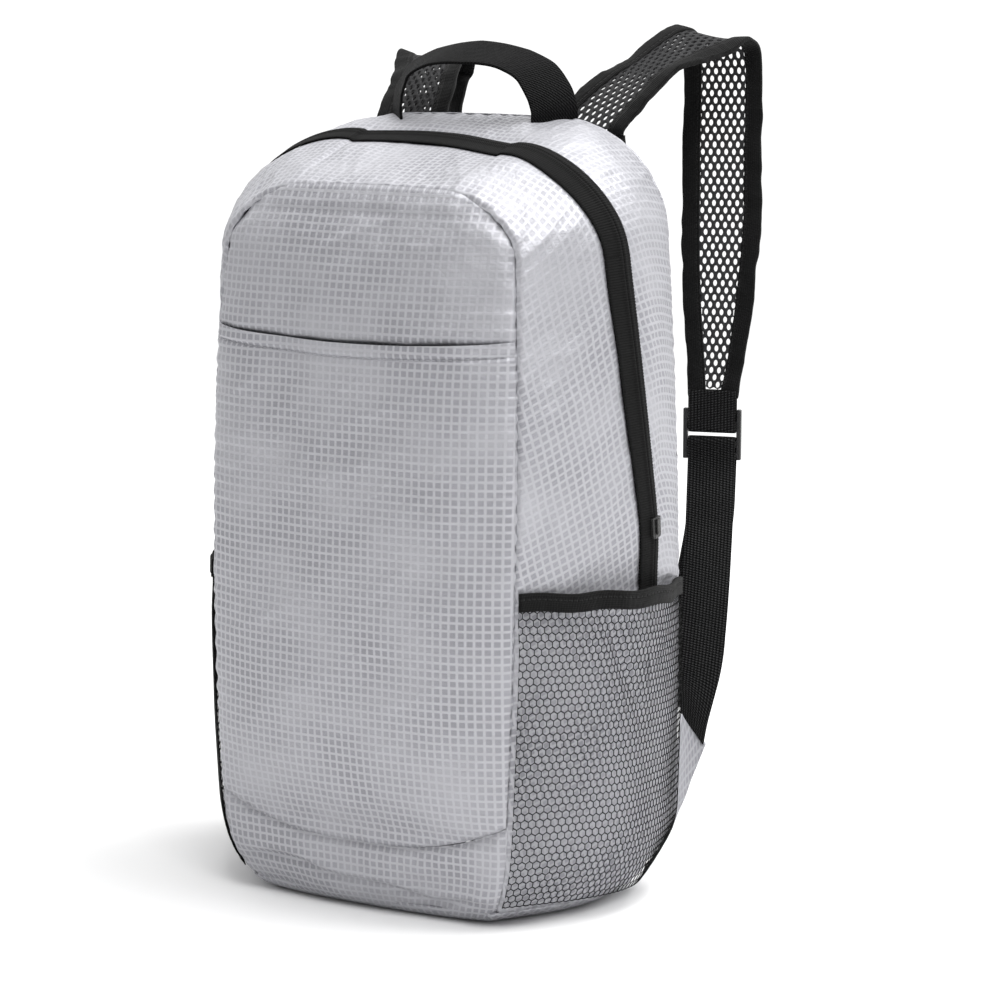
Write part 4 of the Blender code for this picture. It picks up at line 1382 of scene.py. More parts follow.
    def front_grid(self, low: Array, high: Array, rows: int) -> tuple[Array, Array, Array]:
        """Places of a grid on the front wall.

        Args:
            low: lower edge height for each column.
            high: upper edge height for each column.
            rows: rows of the grid.

        Returns:
            Across, height, and the lengths in metres.
        """
        edge = 1.0 - GAP / self.body.front.half_low
        even = np.linspace(-1.0, 1.0, self.columns)[None, :]
        across = edge * mix(even, 1.5 * even - 0.5 * even ** 3, 0.8)
        low, high = (np.interp(across, even[0], np.broadcast_to(end, self.columns)) for end in (low, high))
        z = mix(low, high, 1.0 - (1.0 - np.linspace(0.0, 1.0, rows)[:, None]) ** 1.5)
        across = across + 0.0 * z
        heights = np.linspace(0.0, 0.42, 400)
        middle = self.body.front_wall(0.0 * heights, heights)
        t = np.interp(z, heights, gone(middle))
        s = across * self.body.front.half(z) * 1.012
        return across, z, np.stack([s, t], axis=-1)

    def build_front(self) -> None:
        """Front panel, seen above the slip pocket's hem and running down behind it."""
        body = self.body
        edge = np.linspace(-1.0, 1.0, self.columns)
        low, high = body.base_seam(edge) + GAP, body.front.over(edge * body.front.half_high) - GAP
        across, z, uv = self.front_grid(low, high, self.rows)
        low, high = body.base_seam(across) + GAP, body.front.over(across * body.front.half_high)
        points = body.front_wall(across, z)
        behind = smooth((self.hem(across) + self.slip_start - z) / self.slip_blend)
        foot = smooth((z - low) / (4.0 * self.slip_depth))
        points[..., 1] += self.slip_depth * (1.0 - across ** 4) * behind * foot
        off, along = self.nearer(self.side_room(across, body.front, z), np.maximum(high - z, 0.0), uv)
        top = smooth((z - self.top_start) / self.top_blend)
        sink, wide = mix(SEAM_ROLL, self.top_sink, top), mix(SEAM_WIDE, self.top_sink_wide, top)
        lift = self.crumple(uv, 0.7) * smooth(off / self.calm) * (1.0 - behind)
        lift = lift + self.puckers(off, along, sink, wide)
        lift = lift - self.groove_deep * np.exp(-((off / self.groove_wide) ** 2))
        self.cover("front_cloth", "front_panel", points, uv, lift)

    def build_slip_pocket(self) -> None:
        """Slip pocket over the lower front, open along its folded hem."""
        body = self.body
        edge = np.linspace(-1.0, 1.0, self.columns)
        across, z, uv = self.front_grid(body.base_seam(edge) + GAP, self.hem(edge), self.rows)
        points = body.front_wall(across, z)
        points[..., 1] -= CLOTH + GAP
        off_low = np.maximum(z - body.base_seam(across) - GAP, 0.0)
        off, along = self.nearer(self.side_room(across, body.front, z), off_low, uv)
        off_hem = self.hem(across) - z
        stitched = np.exp(-(((off_hem - self.hem_fold) / self.hem_groove_wide) ** 2))
        wavy = self.noise.cloud(uv[..., 0] / self.hem_wave_long, off_hem / self.hem_wave_reach, 2)
        wavy = wavy * np.exp(-off_hem / self.hem_wave_reach)
        lift = self.crumple(uv, 0.42) * smooth(off / self.calm) * smooth(off_hem / self.hem_calm)
        lift = lift + self.puckers(off, along) + self.hem_wave_deep * wavy - self.hem_groove_deep * stitched
        lift = lift + self.hem_step * smooth((self.hem_fold - off_hem) / self.hem_step_wide)
        self.cover("slip_pocket_cloth", "front_pocket", points, uv, lift)
        self.build_stitches(points, off_hem)

    def build_stitches(self, points: Array, off_hem: Array) -> None:
        """Row of stitches that holds the hem's fold.

        Args:
            points: the slip pocket's outer face.
            off_hem: distance of those points below the hem.
        """
        column = np.arange(points.shape[1])
        row = np.argmin(np.abs(off_hem - self.hem_fold), axis=0)
        line = points[row, column]
        line[:, 2] = line[:, 2] + off_hem[row, column] - self.hem_fold
        passed = gone(line)
        starts = np.arange(self.stitch_start, passed[-1] - self.stitch_end, self.stitch)

        def at(length: Array) -> Array:
            """Points of the line at lengths along it."""
            return np.stack([np.interp(length, passed, line[:, k]) for k in range(3)], axis=1)

        a, b = at(starts), at(starts + self.stitch_share * self.stitch)
        out = np.tile((0.0, -1.0, 0.0), (len(a), 1))
        lift = np.array((0.0, -self.thread_lift, 0.0))
        dress(make_rods("hem_stitches", a + lift, b + lift, out, self.thread), self.looks.inner, Slot.SILVER)

    def gusset_metres(self, points: Array) -> Array:
        """Lengths over the gusset, turned so that its weave leans back along both sides.

        Args:
            points: the gusset's outer face.

        Returns:
            Rows by columns by 2 lengths in metres.
        """
        uv = cloth_metres(points, points.shape[0] // 2)
        s, t = uv[..., 0], uv[..., 1]
        rounded = np.sqrt(t * t + 0.01)
        lean = self.grain_ease * t / rounded
        return np.stack([s - self.grain_lean * rounded, t + lean * s], axis=-1)

    def build_strip(self, name: str, node: str, edges: tuple[Callable, Callable], columns: int) -> None:
        """One of the gusset's two strips.

        Args:
            name: the piece's name.
            node: the solid that it stands for.
            edges: functions that give the share of its two edges for places along the arch.
            columns: columns of its grid.
        """
        place = np.linspace(1.0, -1.0, self.arch_rows)[:, None]
        first, last = edges
        even = np.linspace(0.0, 1.0, columns)[None, :]
        crowded = even ** 2 if node == "gusset_front" else 1.0 - (1.0 - even) ** 2
        share = mix(first(place), last(place), mix(even, crowded, 0.7))
        points = self.body.gusset(place, share)
        width = self.body.gusset_width(place)
        flat = cloth_metres(points, points.shape[0] // 2)
        uv = self.gusset_metres(points)
        off_front, off_back = share * width, (1.0 - share) * width
        lift = self.crumple(uv, 0.85) * smooth(np.minimum(off_front, off_back) / self.gusset_calm)
        lift = lift + self.puckers(off_front, flat[..., 1], self.gusset_roll, self.gusset_roll_wide)
        lift = lift + self.puckers(off_back, flat[..., 1] + 0.3)
        lift = self.calm_zip(lift, place, np.abs(share - zip_path(place)) * width, flat[..., 1])
        behind_net = smooth((self.body.mouth(share) - points[..., 2]) / self.net_blend)
        across, along = flat[..., 0] / self.net_crease_wide + 20.0, flat[..., 1] / self.net_crease_long
        slack = self.noise.creases(across, along, 2)
        arch = np.sin(math.pi * np.clip(share, 0.0, 1.0))
        lift = lift + self.net_crease_deep * slack * behind_net * arch
        self.cover(name, node, points, uv, lift)

    def calm_zip(self, lift: Array, place: Array, off: Array, along: Array) -> Array:
        """Ripples the cloth along the zip and lays it flat beside the tape.

        Args:
            lift: heights of the cloth's own wrinkles.
            place: places along the arch.
            off: distance from the zip's middle.
            along: length along the gusset.

        Returns:
            The heights with the zip's.
        """
        clear = off - self.tape_half
        uneven = self.noise.at(along / 0.02 + 50.0, along * 0.0)
        wave = np.sin(2.0 * math.pi * along / self.zip_ripple_pitch + 5.0 * uneven)
        fade = np.exp(-np.maximum(clear, 0.0) / self.zip_ripple_reach)
        lift = lift + self.zip_ripple * uneven * wave * fade
        beside = smooth((clear + 0.001) / self.zip_calm)
        calm = np.where(np.abs(place) < self.zip_end, beside, smooth(off / self.zip_calm))
        return np.where(lift > 0.0, lift * calm, lift * (0.3 + 0.7 * calm)) - self.zip_sink * (1.0 - calm)

    def build_gusset(self) -> None:
        """Both strips of the gusset, tucked under the zip's tape."""
        width = self.body.gusset_width

        def front_edge(place: Array) -> Array:
            """Front edge, at the front seam."""
            return self.seam_clear / width(place)

        def back_edge(place: Array) -> Array:
            """Rear edge, at the back seam."""
            return 1.0 - self.seam_clear / width(place)

        def room(place: Array) -> Array:
            """Half the gap under the tape, which closes below the zip's ends."""
            closed = smooth((np.abs(place) - self.zip_end) / self.zip_closing)
            return mix(self.tape_half - self.tape_cover, -self.tape_overlap, closed) / width(place)

        def zip_front(place: Array) -> Array:
            """Edge under the front of the zip's tape."""
            return zip_path(place) - room(place)

        def zip_rear(place: Array) -> Array:
            """Edge under the rear of the zip's tape."""
            return zip_path(place) + room(place)

        self.build_strip("gusset_cloth_front", "gusset_front", (front_edge, zip_front), 44)
        self.build_strip("gusset_cloth_rear", "gusset_rear", (zip_rear, back_edge), 40)

    def build_back(self) -> None:
        """Back panel, against the wearer."""
        body = self.body
        across = np.linspace(-1.0, 1.0, self.columns)[None, :] * (1.0 - GAP / body.back.half_low)
        low, high = body.seam_low + GAP, body.back.over(across * body.back.half_high) - GAP
        z = mix(low, high, np.linspace(0.0, 1.0, self.rows)[:, None])
        x = across * body.back.half(z)
        share = np.clip(z / body.back.top, 0.0, 1.0)
        crown = body.back_crown * (1.0 - across ** 4) * (1.0 - (2.0 * share - 1.0) ** 4)
        points = body.tuck(vectors(x, body.back_depth + crown, z))
        uv = np.stack([x, z + 0.0 * x], axis=-1)
        off, along = self.nearer(self.side_room(across, body.back, z), np.minimum(high - z, z - low), uv)
        lift = self.crumple(uv) * smooth(off / self.calm) + self.puckers(off, along)
        self.cover("back_cloth", "back_panel", points, uv, lift)

    def rim(self, turn: Array, z: Array) -> Array:
        """Points of the walls low down.

        Args:
            turn: shares of the way round, from the front left corner.
            z: heights.

        Returns:
            Points of the outer face.
        """
        part = (turn % 1.0) * 4.0
        body = self.body
        front = body.front_wall(mix(-1.0, 1.0, np.clip(part, 0.0, 1.0)), z)
        back_across = mix(1.0, -1.0, np.clip(part - 2.0, 0.0, 1.0))
        back = body.tuck(vectors(back_across * body.back.half(z), body.back_depth, z))

        def wall(side: float, share: Array) -> Array:
            """Points of one side wall.

            Args:
                side: sign of the side.
                share: from the front seam, 0, to the back seam, 1.

            Returns:
                Points.
            """
            share = np.clip(share, 0.0, 1.0)
            near = vectors(side * body.front.half(z), -body.front_depth(z), z)
            far = vectors(side * body.back.half(z), body.back_depth, z)
            bulge = (body.side_bulge - body.recess) * np.sin(math.pi * share)
            point = mix(near, far, share[..., None])
            point[..., 0] += side * bulge
            return body.tuck(point)

        right, left = wall(1.0, part - 1.0), wall(-1.0, 4.0 - part)
        part = part[..., None]
        return np.where(part < 1.0, front, np.where(part < 2.0, right, np.where(part < 3.0, back, left)))

    def build_base(self) -> None:
        """Base: a flat floor with a turned-up rim, and the front's turn-up with its tuck."""
        body = self.body
        heights = (body.seam_low - GAP) * (1.0 - np.linspace(0.0, 1.0, 8) ** 0.7)
        turn = np.linspace(0.0, 1.0, 241)[None, :]
        rings = self.rim(turn + 0.0 * heights[:, None], heights[:, None] + 0.0 * turn)
        middle = np.array((0.0, body.middle, 0.0))
        floor = middle + (rings[-1:] - middle) * np.linspace(1.0, 0.0, 14)[1:, None, None]
        points = np.concatenate([rings, floor])
        floor_cloth = make_sheet("base_floor_cloth", points, points[..., :2].copy(), CLOTH)
        dress(floor_cloth, self.looks.cloth, Slot.SILVER, "bottom_panel")
        self.build_turn_up()

    def build_turn_up(self) -> None:
        """The base's turn-up below the front seam, with the tuck that runs across it."""
        body = self.body
        high = body.base_seam(np.linspace(-1.0, 1.0, self.columns)) - GAP
        across, z, uv = self.front_grid(np.full(self.columns, 0.0010), high, 46)
        points = body.front_wall(across, z)
        off_top = body.base_seam(across) - GAP - z
        off_side = self.side_room(across, body.front, z)
        tuck_at = mix(0.024, 0.012, smooth(0.5 + across * 0.6)) + 0.0015 * np.sin(across * 9.0)
        tuck = np.exp(-(((z - tuck_at) / self.tuck_wide) ** 2)) * smooth((1.0 - np.abs(across)) / 0.25)
        calm = smooth(np.minimum(off_top, off_side) / 0.012) * smooth(z / 0.01)
        lift = self.puckers(off_top, uv[..., 0] + NEXT_EDGE) + self.puckers(off_side, uv[..., 1])
        lift = lift + self.crumple(uv, 0.7) * calm
        lift = lift - self.tuck_deep * tuck + self.tuck_roll * np.exp(-(((z - tuck_at - 0.004) / 0.003) ** 2))
        self.cover("base_front_cloth", "bottom_panel", points, uv, lift)

    def build(self) -> None:
        """Builds the whole shell."""
        self.build_front()
        self.build_slip_pocket()
        self.build_gusset()
        self.build_back()
        self.build_base()


# Places across the tape in eighteenths of its width, crowded at the coil
TAPE_COLUMNS = (-9.0, -7.6, -5.0, -2.0, -0.2, 0.6, 1.6, 2.6, 3.0, 3.4, 4.4, 5.4, 6.2, 7.8, 9.0)


@dataclass
class Zip:
    """Coil zip over the top and down both sides, with its slider."""

    body: Body
    looks: Finishes
    width: float = 0.0180
    lift: float = 0.0012
    coil_place: float = 0.0030
    coil_half: float = 0.0026
    coil_lift: float = 0.0008
    tooth_pitch: float = 0.0014
    pinking: float = 0.0006
    slider_long: float = 0.0110
    slider_wide: float = 0.0075
    slider_height: float = 0.2080
    slider_soft: float = 0.0005
    end: float = 0.772
    rows: int = 1300

    def tape_grid(self) -> tuple[Array, Array]:
        """Points of the tape and their lengths in metres.

        Returns:
            Rows by columns by 3 points, and by 2 lengths.
        """
        place = np.linspace(self.end, -self.end, self.rows)[:, None]
        away = np.array(TAPE_COLUMNS)[None, :] * (self.width / 18.0)
        width = self.body.gusset_width(place)
        zig = np.where(np.arange(self.rows)[:, None] % 2 == 0, self.pinking, -self.pinking)
        edge = np.zeros_like(away)
        edge[0, 0], edge[0, -1] = -0.5, 0.5
        share = zip_path(place) + (away + edge * zig) / width
        points = self.body.gusset(place, share)
        centre = points[:, points.shape[1] // 2:points.shape[1] // 2 + 1]
        length = gone(centre[:, 0])[:, None] + 0.0 * share
        off = np.abs(away - self.coil_place)
        ridge = np.sqrt(np.clip(1.0 - (off / self.coil_half) ** 2, 0.0, 1.0))
        teeth = 0.5 + 0.5 * np.sin(2.0 * math.pi * length / self.tooth_pitch)
        groove = np.exp(-((off / 0.0004) ** 2))
        rise = self.lift + self.coil_lift * ridge * (0.75 + 0.25 * teeth) - 0.0007 * groove
        rise = rise - 0.0004 * np.clip(np.abs(away) / 0.009, 0.0, 1.0) ** 6
        points = points + surface_normals(points) * rise[..., None]
        return points, np.stack([away + 0.0 * share, length], axis=-1)

    def build_slider(self, points: Array) -> None:
        """Slider body with a bridge, on the coil low on the right side.

        Args:
            points: the tape's outer face.
        """
        half = len(points) // 2
        column = 8
        row = int(np.argmin(np.abs(points[:half, column, 2] - self.slider_height)))
        centre = points[row, column]
        along = unit(points[row + 12, column] - points[row - 12, column])
        across = unit(points[row, -2] - points[row, 1])
        out = unit(np.cross(across, along))
        if out[0] < 0.0:
            out = -out
        across = np.cross(along, out)
        parts = (
            (0.0, 0.0, 0.0010, self.slider_wide, self.slider_long, 0.0022),
            (0.0, 0.0006, 0.0027, self.slider_wide * 0.42, self.slider_long * 0.80, 0.0014),
            (0.0, -0.0042, 0.0012, self.slider_wide * 0.70, self.slider_long * 0.30, 0.0024),
        )
        slider = make_blocks("slider_body", parts, centre, (across, along, out), self.slider_soft)
        dress(slider, self.looks.plastic, Slot.PLASTIC, "zip_slider")

    def build(self) -> None:
        """Builds the tape with its coil, and the slider."""
        points, uv = self.tape_grid()
        dress(make_sheet("zip_tape_coil", points, uv, 0.0008), self.looks.tape, Slot.TRIM, "zip_tape")
        self.build_slider(points)


@dataclass
class NetPocket:
    """Side pocket of six-sided net, with a binding along its mouth."""

    body: Body
    looks: Finishes
    side: Side
    cell: float = 0.0035
    tall: float = 0.0038
    thread: float = 0.00030
    low: float = 0.0120
    binding_tall: float = 0.0100
    binding_thick: float = 0.0022
    loose: float = 0.0018
    dent: float = 0.0028
    drawn_in: float = 0.0010
    noise: Noise = field(default_factory=lambda: Noise(23))

    def slack(self, share: Array, z: Array) -> Array:
        """How the net waves off its smooth surface.

        Args:
            share: from the front seam, 0, to the back seam, 1.
            z: heights.

        Returns:
            Distances out of the surface.
        """
        wave = self.noise.cloud(share * 3.0 + self.side.value, z / 0.06, 2) * self.loose
        down = (z - 0.135 + 0.25 * (share - 0.45)) / 0.010
        dent = self.dent * np.exp(-down ** 2) * np.exp(-((share - 0.42) / 0.10) ** 2)
        return (wave - dent) * np.sin(math.pi * share) - self.drawn_in * smooth((z - 0.150) / 0.02)

    def build_net(self) -> None:
        """Threads of the net, as thin four-sided rods along the edges of six-sided cells."""
        width = float(self.body.gusset_width(np.array(1.0)))
        height = self.body.mouth_front - self.binding_tall * 0.6 - self.low
        columns, rows = int(width / self.cell), int(height / self.tall)
        corners = np.array(((0.5, -1 / 3), (0.5, 1 / 3), (0.0, 2 / 3), (-0.5, 1 / 3)))
        column, row = np.meshgrid(np.arange(-1, columns + 1), np.arange(-1, rows + 1))
        x = (column + 0.5 + 0.5 * (row % 2)).ravel()
        y = (row + 0.5).ravel()
        spots = np.stack([x, y], axis=-1)[:, None, :] + corners[None]
        starts = spots[:, :3].reshape(-1, 2)
        ends = spots[:, 1:].reshape(-1, 2)
        limit = np.array((columns, rows), float)
        starts, ends = np.clip(starts, 0.0, limit), np.clip(ends, 0.0, limit)
        keep = np.linalg.norm(starts - ends, axis=1) > 0.05
        starts, ends = starts[keep] / limit, ends[keep] / limit
        a, b = self.place(starts), self.place(ends)
        out = unit(vectors(np.full(len(a), self.side.value), -0.25 + 0.0 * a[:, 0], 0.0 * a[:, 0]))
        obj = make_rods(f"net_{self.side.word}", a, b, out, self.thread)
        dress(obj, self.looks.net, Slot.NET, f"mesh_pocket_{self.side.word}")

    def place(self, spots: Array) -> Array:
        """Points of the net.

        Args:
            spots: rows of a share across and a share up.

        Returns:
            Points.
        """
        share = mix(0.012, 0.988, spots[:, 0])
        z = mix(self.low, self.body.mouth(share) - self.binding_tall * 0.6, spots[:, 1])
        return self.body.pocket(self.side.value, share, z, self.slack(share, z))

    def build_binding(self) -> None:
        """Binding on the net's top edge."""
        share = np.linspace(0.010, 0.990, 120)
        z = self.body.mouth(share) - 0.5 * self.binding_tall
        points = self.body.pocket(self.side.value, share, z, self.slack(share, z) + 0.0004)
        points[:, 2] += 0.0006 * np.sin(share * 23.0)
        ribbon = Ribbon.along(points, lambda s: np.tile((0.0, 0.0, 1.0), (len(s), 1)))

        def ruffle(length: Array, away: Array) -> Array:
            """Small waves of the binding."""
            return self.noise.cloud(length / 0.012, away / 0.010 + 4.0, 2) * 0.0005

        half = 0.5 * self.binding_tall
        obj = sweep(f"net_binding_{self.side.word}", ribbon, -half, half, self.binding_thick, ruffle)
        dress(obj, self.looks.binding, Slot.TRIM, f"pocket_binding_{self.side.word}")

    def build(self) -> None:
        """Builds the net and its binding."""
        self.build_net()
        self.build_binding()


# Columns: outward share of the half span, upward share of the rise, forward lean share, roll in degrees
HANDLE_SHAPE = (
    (1.00, 0.00, 0.00, 0.0), (1.00, 0.22, 0.10, 4.0), (0.93, 0.48, 0.25, 10.0),
    (0.76, 0.76, 0.45, 18.0), (0.44, 0.94, 0.60, 22.0), (0.00, 1.00, 0.65, 25.0),
)


@dataclass
class Handle:
    """Grab handle: an arch of twill webbing."""

    looks: Finishes
    wide: float = 0.0270
    thick: float = 0.0018
    half_span: float = 0.0495
    rise: float = 0.0370
    foot_turn: float = 50.0
    foot_y: float = 0.0450
    foot_z: float = 0.4165
    lean: float = 0.0060
    steps: int = 120

    def build(self) -> None:
        """Builds the handle."""
        rows = []
        for side, shape in ((1.0, HANDLE_SHAPE), (-1.0, HANDLE_SHAPE[-2::-1])):
            for out, up, lean, roll in shape:
                rows.append((
                    side * out * self.half_span, self.foot_y - lean * self.lean, self.foot_z + up * self.rise,
                    side * out, roll,
                ))
        route = spline(np.array(rows), self.steps)

        def turn(share: Array) -> Array:
            """Way across the webbing.

            Args:
                share: shares of the webbing's length.

            Returns:
                Vectors.
            """
            at = share * (len(rows) - 1)
            out = np.interp(at, np.arange(len(rows)), [row[3] for row in rows])
            roll = np.radians(np.interp(at, np.arange(len(rows)), [row[4] for row in rows]))
            plan = np.radians(mix(90.0, self.foot_turn, np.abs(out) ** 3))
            x = np.cos(plan) * np.sign(out)
            return vectors(x, np.sin(plan) * np.cos(roll), np.sin(plan) * np.sin(roll))

        ribbon = Ribbon.along(route[:, :3], turn)
        half = 0.5 * self.wide
        obj = sweep("handle_webbing", ribbon, -half, half, self.thick, roundness=0.4)
        dress(obj, self.looks.twill, Slot.WEBBING, "handle")


# Columns: outward share from root to lock, backward share of the reach, upward share from end to apex
ROUTES = {
    Side.RIGHT: (
        (0.31, 0.33, 0.893), (0.60, 0.61, 0.965), (0.78, 0.80, 0.996), (0.87, 0.92, 0.985),
        (0.90, 0.970, 0.925), (0.92, 0.955, 0.720), (0.95, 0.92, 0.440), (0.98, 0.84, 0.130),
    ),
    Side.LEFT: (
        (0.05, 0.28, 0.880), (0.14, 0.45, 0.925), (0.24, 0.60, 0.942), (0.33, 0.71, 0.925),
        (0.39, 0.77, 0.870), (0.54, 0.82, 0.660), (0.76, 0.84, 0.440), (0.94, 0.82, 0.130),
    ),
}

# Columns: share of the strap's length, slope across it
SLOPES = {
    Side.RIGHT: ((1.00, 0.0), (0.52, 0.0), (0.36, 0.20), (0.20, -0.17), (0.04, 0.0)),
    Side.LEFT: ((1.00, 0.0), (0.50, 0.0), (0.30, 0.16), (0.16, 0.12), (0.04, 0.0)),
}
ROOT_SHARES = {Side.RIGHT: 1.0, Side.LEFT: 0.82}


@dataclass
class Strap:
    """Shoulder strap of see-through mesh with bound edges, its lock, its webbing and its tab."""

    body: Body
    looks: Finishes
    side: Side
    wide: float = 0.0450
    mesh_thick: float = 0.0012
    binding: float = 0.0100
    binding_thick: float = 0.0034
    taper_start: float = 0.68
    taper_leaves: float = 0.30
    root_drop: float = 0.0160
    root_out: float = 0.0630
    apex: float = 0.4600
    reach: float = 0.0900
    end_height: float = 0.2620
    end_out: float = 0.1065
    end_back: float = 0.78
    turn_degrees: float = 14.0
    webbing_wide: float = 0.0270
    webbing_thick: float = 0.0014
    rail: float = 0.0026
    lock_tall: float = 0.0285
    lock_thick: float = 0.0024
    bar: float = 0.0040
    lock_gap: float = 0.0020
    lock_ease: float = 0.0008
    lock_soft: float = 0.0007
    rail_swell: float = 1.5
    lock_drop: float = 0.0065
    notch: float = 0.0075
    loop_start: float = -0.0040
    turn_room: float = 0.0007
    tail_long: float = 0.1400
    tail_shift: float = 0.0060
    layer_room: float = 0.0010
    bow: float = 0.0040
    tab_top: float = 0.0840
    tab_low: float = 0.0300
    tab_out: float = 0.1205
    tab_back: float = 0.0760
    tab_slant: float = 0.0090
    tab_narrow: float = 0.50
    tab_under: float = 0.0016
    tab_tucked: float = 0.0020
    hole_across: float = 0.0022
    hole_along: float = 0.0081
    hole_half_wide: float = 0.00120
    hole_half_long: float = 0.00180
    hole_margin: float = 0.0016
    hole_end: float = 0.0030
    wave_long: float = 0.060
    wave_across: float = 0.050
    wave_deep: float = 0.0012
    ruffle_long: float = 0.011
    ruffle_deep: float = 0.0007
    wander: float = 0.0005
    steps: int = 260
    noise: Noise = field(default_factory=lambda: Noise(31))

    @property
    def lock_top(self) -> Array:
        """Middle of the lock's top edge."""
        y = self.body.back_depth + self.end_back * self.reach
        return np.array((self.side.value * self.end_out, y, self.end_height - self.lock_drop))

    @property
    def plan(self) -> tuple[Array, Array]:
        """The lock's way across and its way out of the face."""
        a, s = math.radians(self.turn_degrees), self.side.value
        return np.array((math.cos(a), s * math.sin(a), 0.0)), np.array((-s * math.sin(a), math.cos(a), 0.0))

    def route(self) -> Ribbon:
        """Centre line of the strap with its frames.

        Returns:
            The ribbon from root to lock.
        """
        body, s = self.body, self.side.value
        root = self.root_out * ROOT_SHARES[self.side]
        root_z = body.back.top - self.root_drop
        x = root - 0.5 * self.wide
        across, share = x / float(body.back.half(root_z)), root_z / body.back.top
        behind = body.back_depth + body.back_crown * (1 - across ** 4) * (1 - (2 * share - 1) ** 4) + 0.0025
        spots = [(s * root, behind, root_z), (s * root, behind + 0.0032, body.back.top)]
        for outward, backward, upward in ROUTES[self.side]:
            spots.append((
                s * mix(root, self.end_out, outward), body.back_depth + backward * self.reach,
                mix(self.end_height, self.apex, upward),
            ))
        spots.append(tuple(self.lock_top + np.array((0.0, 0.0, self.lock_drop))))
        points = spline(np.array(spots), self.steps)

        def turn(share: Array) -> Array:
            """Way across the strap at shares of its length."""
            a = np.radians(self.turn_degrees) * smooth(share * 2.0)
            return vectors(np.cos(a), s * np.sin(a), -s * read_rows(SLOPES[self.side], share))

        return Ribbon.along(points, turn)

    def half(self, share: Array) -> Array:
        """Half the width of the see-through mesh."""
        taper = np.maximum(share - self.taper_start, 0.0) / (1.0 - self.taper_start)
        return (0.5 * self.wide - self.binding) * (1.0 - (1.0 - self.taper_leaves) * taper ** 1.6)

    def wave(self, length: Array, away: Array) -> Array:
        """Slight waves of the whole strap out of its face."""
        turned = length / self.wave_long + 3.0 * self.side.value
        return self.noise.cloud(turned, away / self.wave_across, 2) * self.wave_deep

    def cell_middles(self, total: float) -> tuple[Array, Array]:
        """Middles of the mesh's six-sided cells, every other column half a cell on.

        Args:
            total: length of the strap.

        Returns:
            Distances off the centre line and lengths along it, one row for each cell.
        """
        columns = int(math.ceil((0.5 * self.wide - self.binding + 0.002) / self.hole_across))
        column, row = np.meshgrid(np.arange(-columns, columns + 1), np.arange(int(total / self.hole_along)))
        u = column.ravel() * self.hole_across
        v = (row.ravel() + 0.25 + 0.5 * (column.ravel() % 2)) * self.hole_along
        keep = (np.abs(u) < self.half(v / total) + self.hole_margin) & (v < total - self.hole_end)
        return u[keep][:, None], v[keep][:, None]

    def cell_ring(self) -> Array:
        """Twelve points round one cell: its six corners, each with the middle of the next side.

        Returns:
            Twelve places across and along, from the cell's middle.
        """
        across, along = self.hole_across, self.hole_along
        reach = 0.5 * (across ** 2 + 0.25 * along ** 2)
        side, tip = (reach - across * across) / (0.5 * along), reach / (0.5 * along)
        ring = np.array([
            (across, -side), (across, side), (0.0, tip), (-across, side), (-across, -side), (0.0, -tip),
        ])
        return np.stack([ring, 0.5 * (ring + np.roll(ring, -1, axis=0))], axis=1).reshape(-1, 2)

    def build_mesh(self, ribbon: Ribbon) -> None:
        """See-through mesh: cells with oval holes, in two layers joined round each hole.

        Args:
            ribbon: the strap's centre line.
        """
        total = float(ribbon.lengths[-1])
        u, v = self.cell_middles(total)
        rim = self.cell_ring()
        angle = np.arctan2(rim[:, 1] / self.hole_half_long, rim[:, 0] / self.hole_half_wide)
        hole = np.stack([self.hole_half_wide * np.cos(angle), self.hole_half_long * np.sin(angle)], axis=-1)
        flat = [np.stack([u + ring[:, 0], v + ring[:, 1]], axis=-1) for ring in (rim, hole)] * 2
        layers = []
        for lift, spots in zip((0.5, 0.5, -0.5, -0.5), flat):
            pu, pv = spots[..., 0], spots[..., 1]
            layers.append(ribbon.at(pv / total, pu, lift * self.mesh_thick + self.wave(pv, pu)))
        points = np.stack(layers, axis=1)
        index = np.arange(points.size // 3).reshape(points.shape[:3])
        index = np.concatenate([index, index[:, :, :1]], axis=2)
        faces = []
        for a, b in ((0, 1), (1, 3), (3, 2)):
            first, second = index[:, a], index[:, b]
            faces.append(np.stack([first[:, :-1], first[:, 1:], second[:, 1:], second[:, :-1]], axis=-1))
        faces = np.concatenate(faces).reshape(-1, 4)
        obj = make_object(f"strap_net_{self.side.word}", points, faces, np.stack(flat, axis=1))
        dress(obj, self.looks.spacer, Slot.NET, f"strap_mesh_{self.side.word}")

    def build_bindings(self, ribbon: Ribbon) -> None:
        """Soft, slightly ruffled bindings along both edges.

        Args:
            ribbon: the strap's centre line.
        """
        shares = np.linspace(0.0, 1.0, len(ribbon.points))
        half = self.half(shares)
        for edge, word in ((-1.0, "inner"), (1.0, "outer")):
            sign = self.side.value * edge

            def ruffle(length: Array, away: Array) -> Array:
                """Ruffles of the binding, with the strap's own waves."""
                small = self.noise.cloud(length / self.ruffle_long + 9.0 * edge, away / 0.012 + 2.0, 3)
                small = small * self.ruffle_deep
                return small + self.wave(length, away)

            wander = self.noise.cloud(np.linspace(0.0, 26.0, len(shares)), shares * 0.0 + edge, 2)
            wander = wander * self.wander
            obj = sweep(
                f"strap_edge_{word}_{self.side.word}", ribbon, sign * half,
                sign * (half + self.binding + wander), self.binding_thick, ruffle,
            )
            self.shift_metres(obj, sign, half)
            dress(obj, self.looks.binding, Slot.TRIM, f"strap_binding_{word}_{self.side.word}")

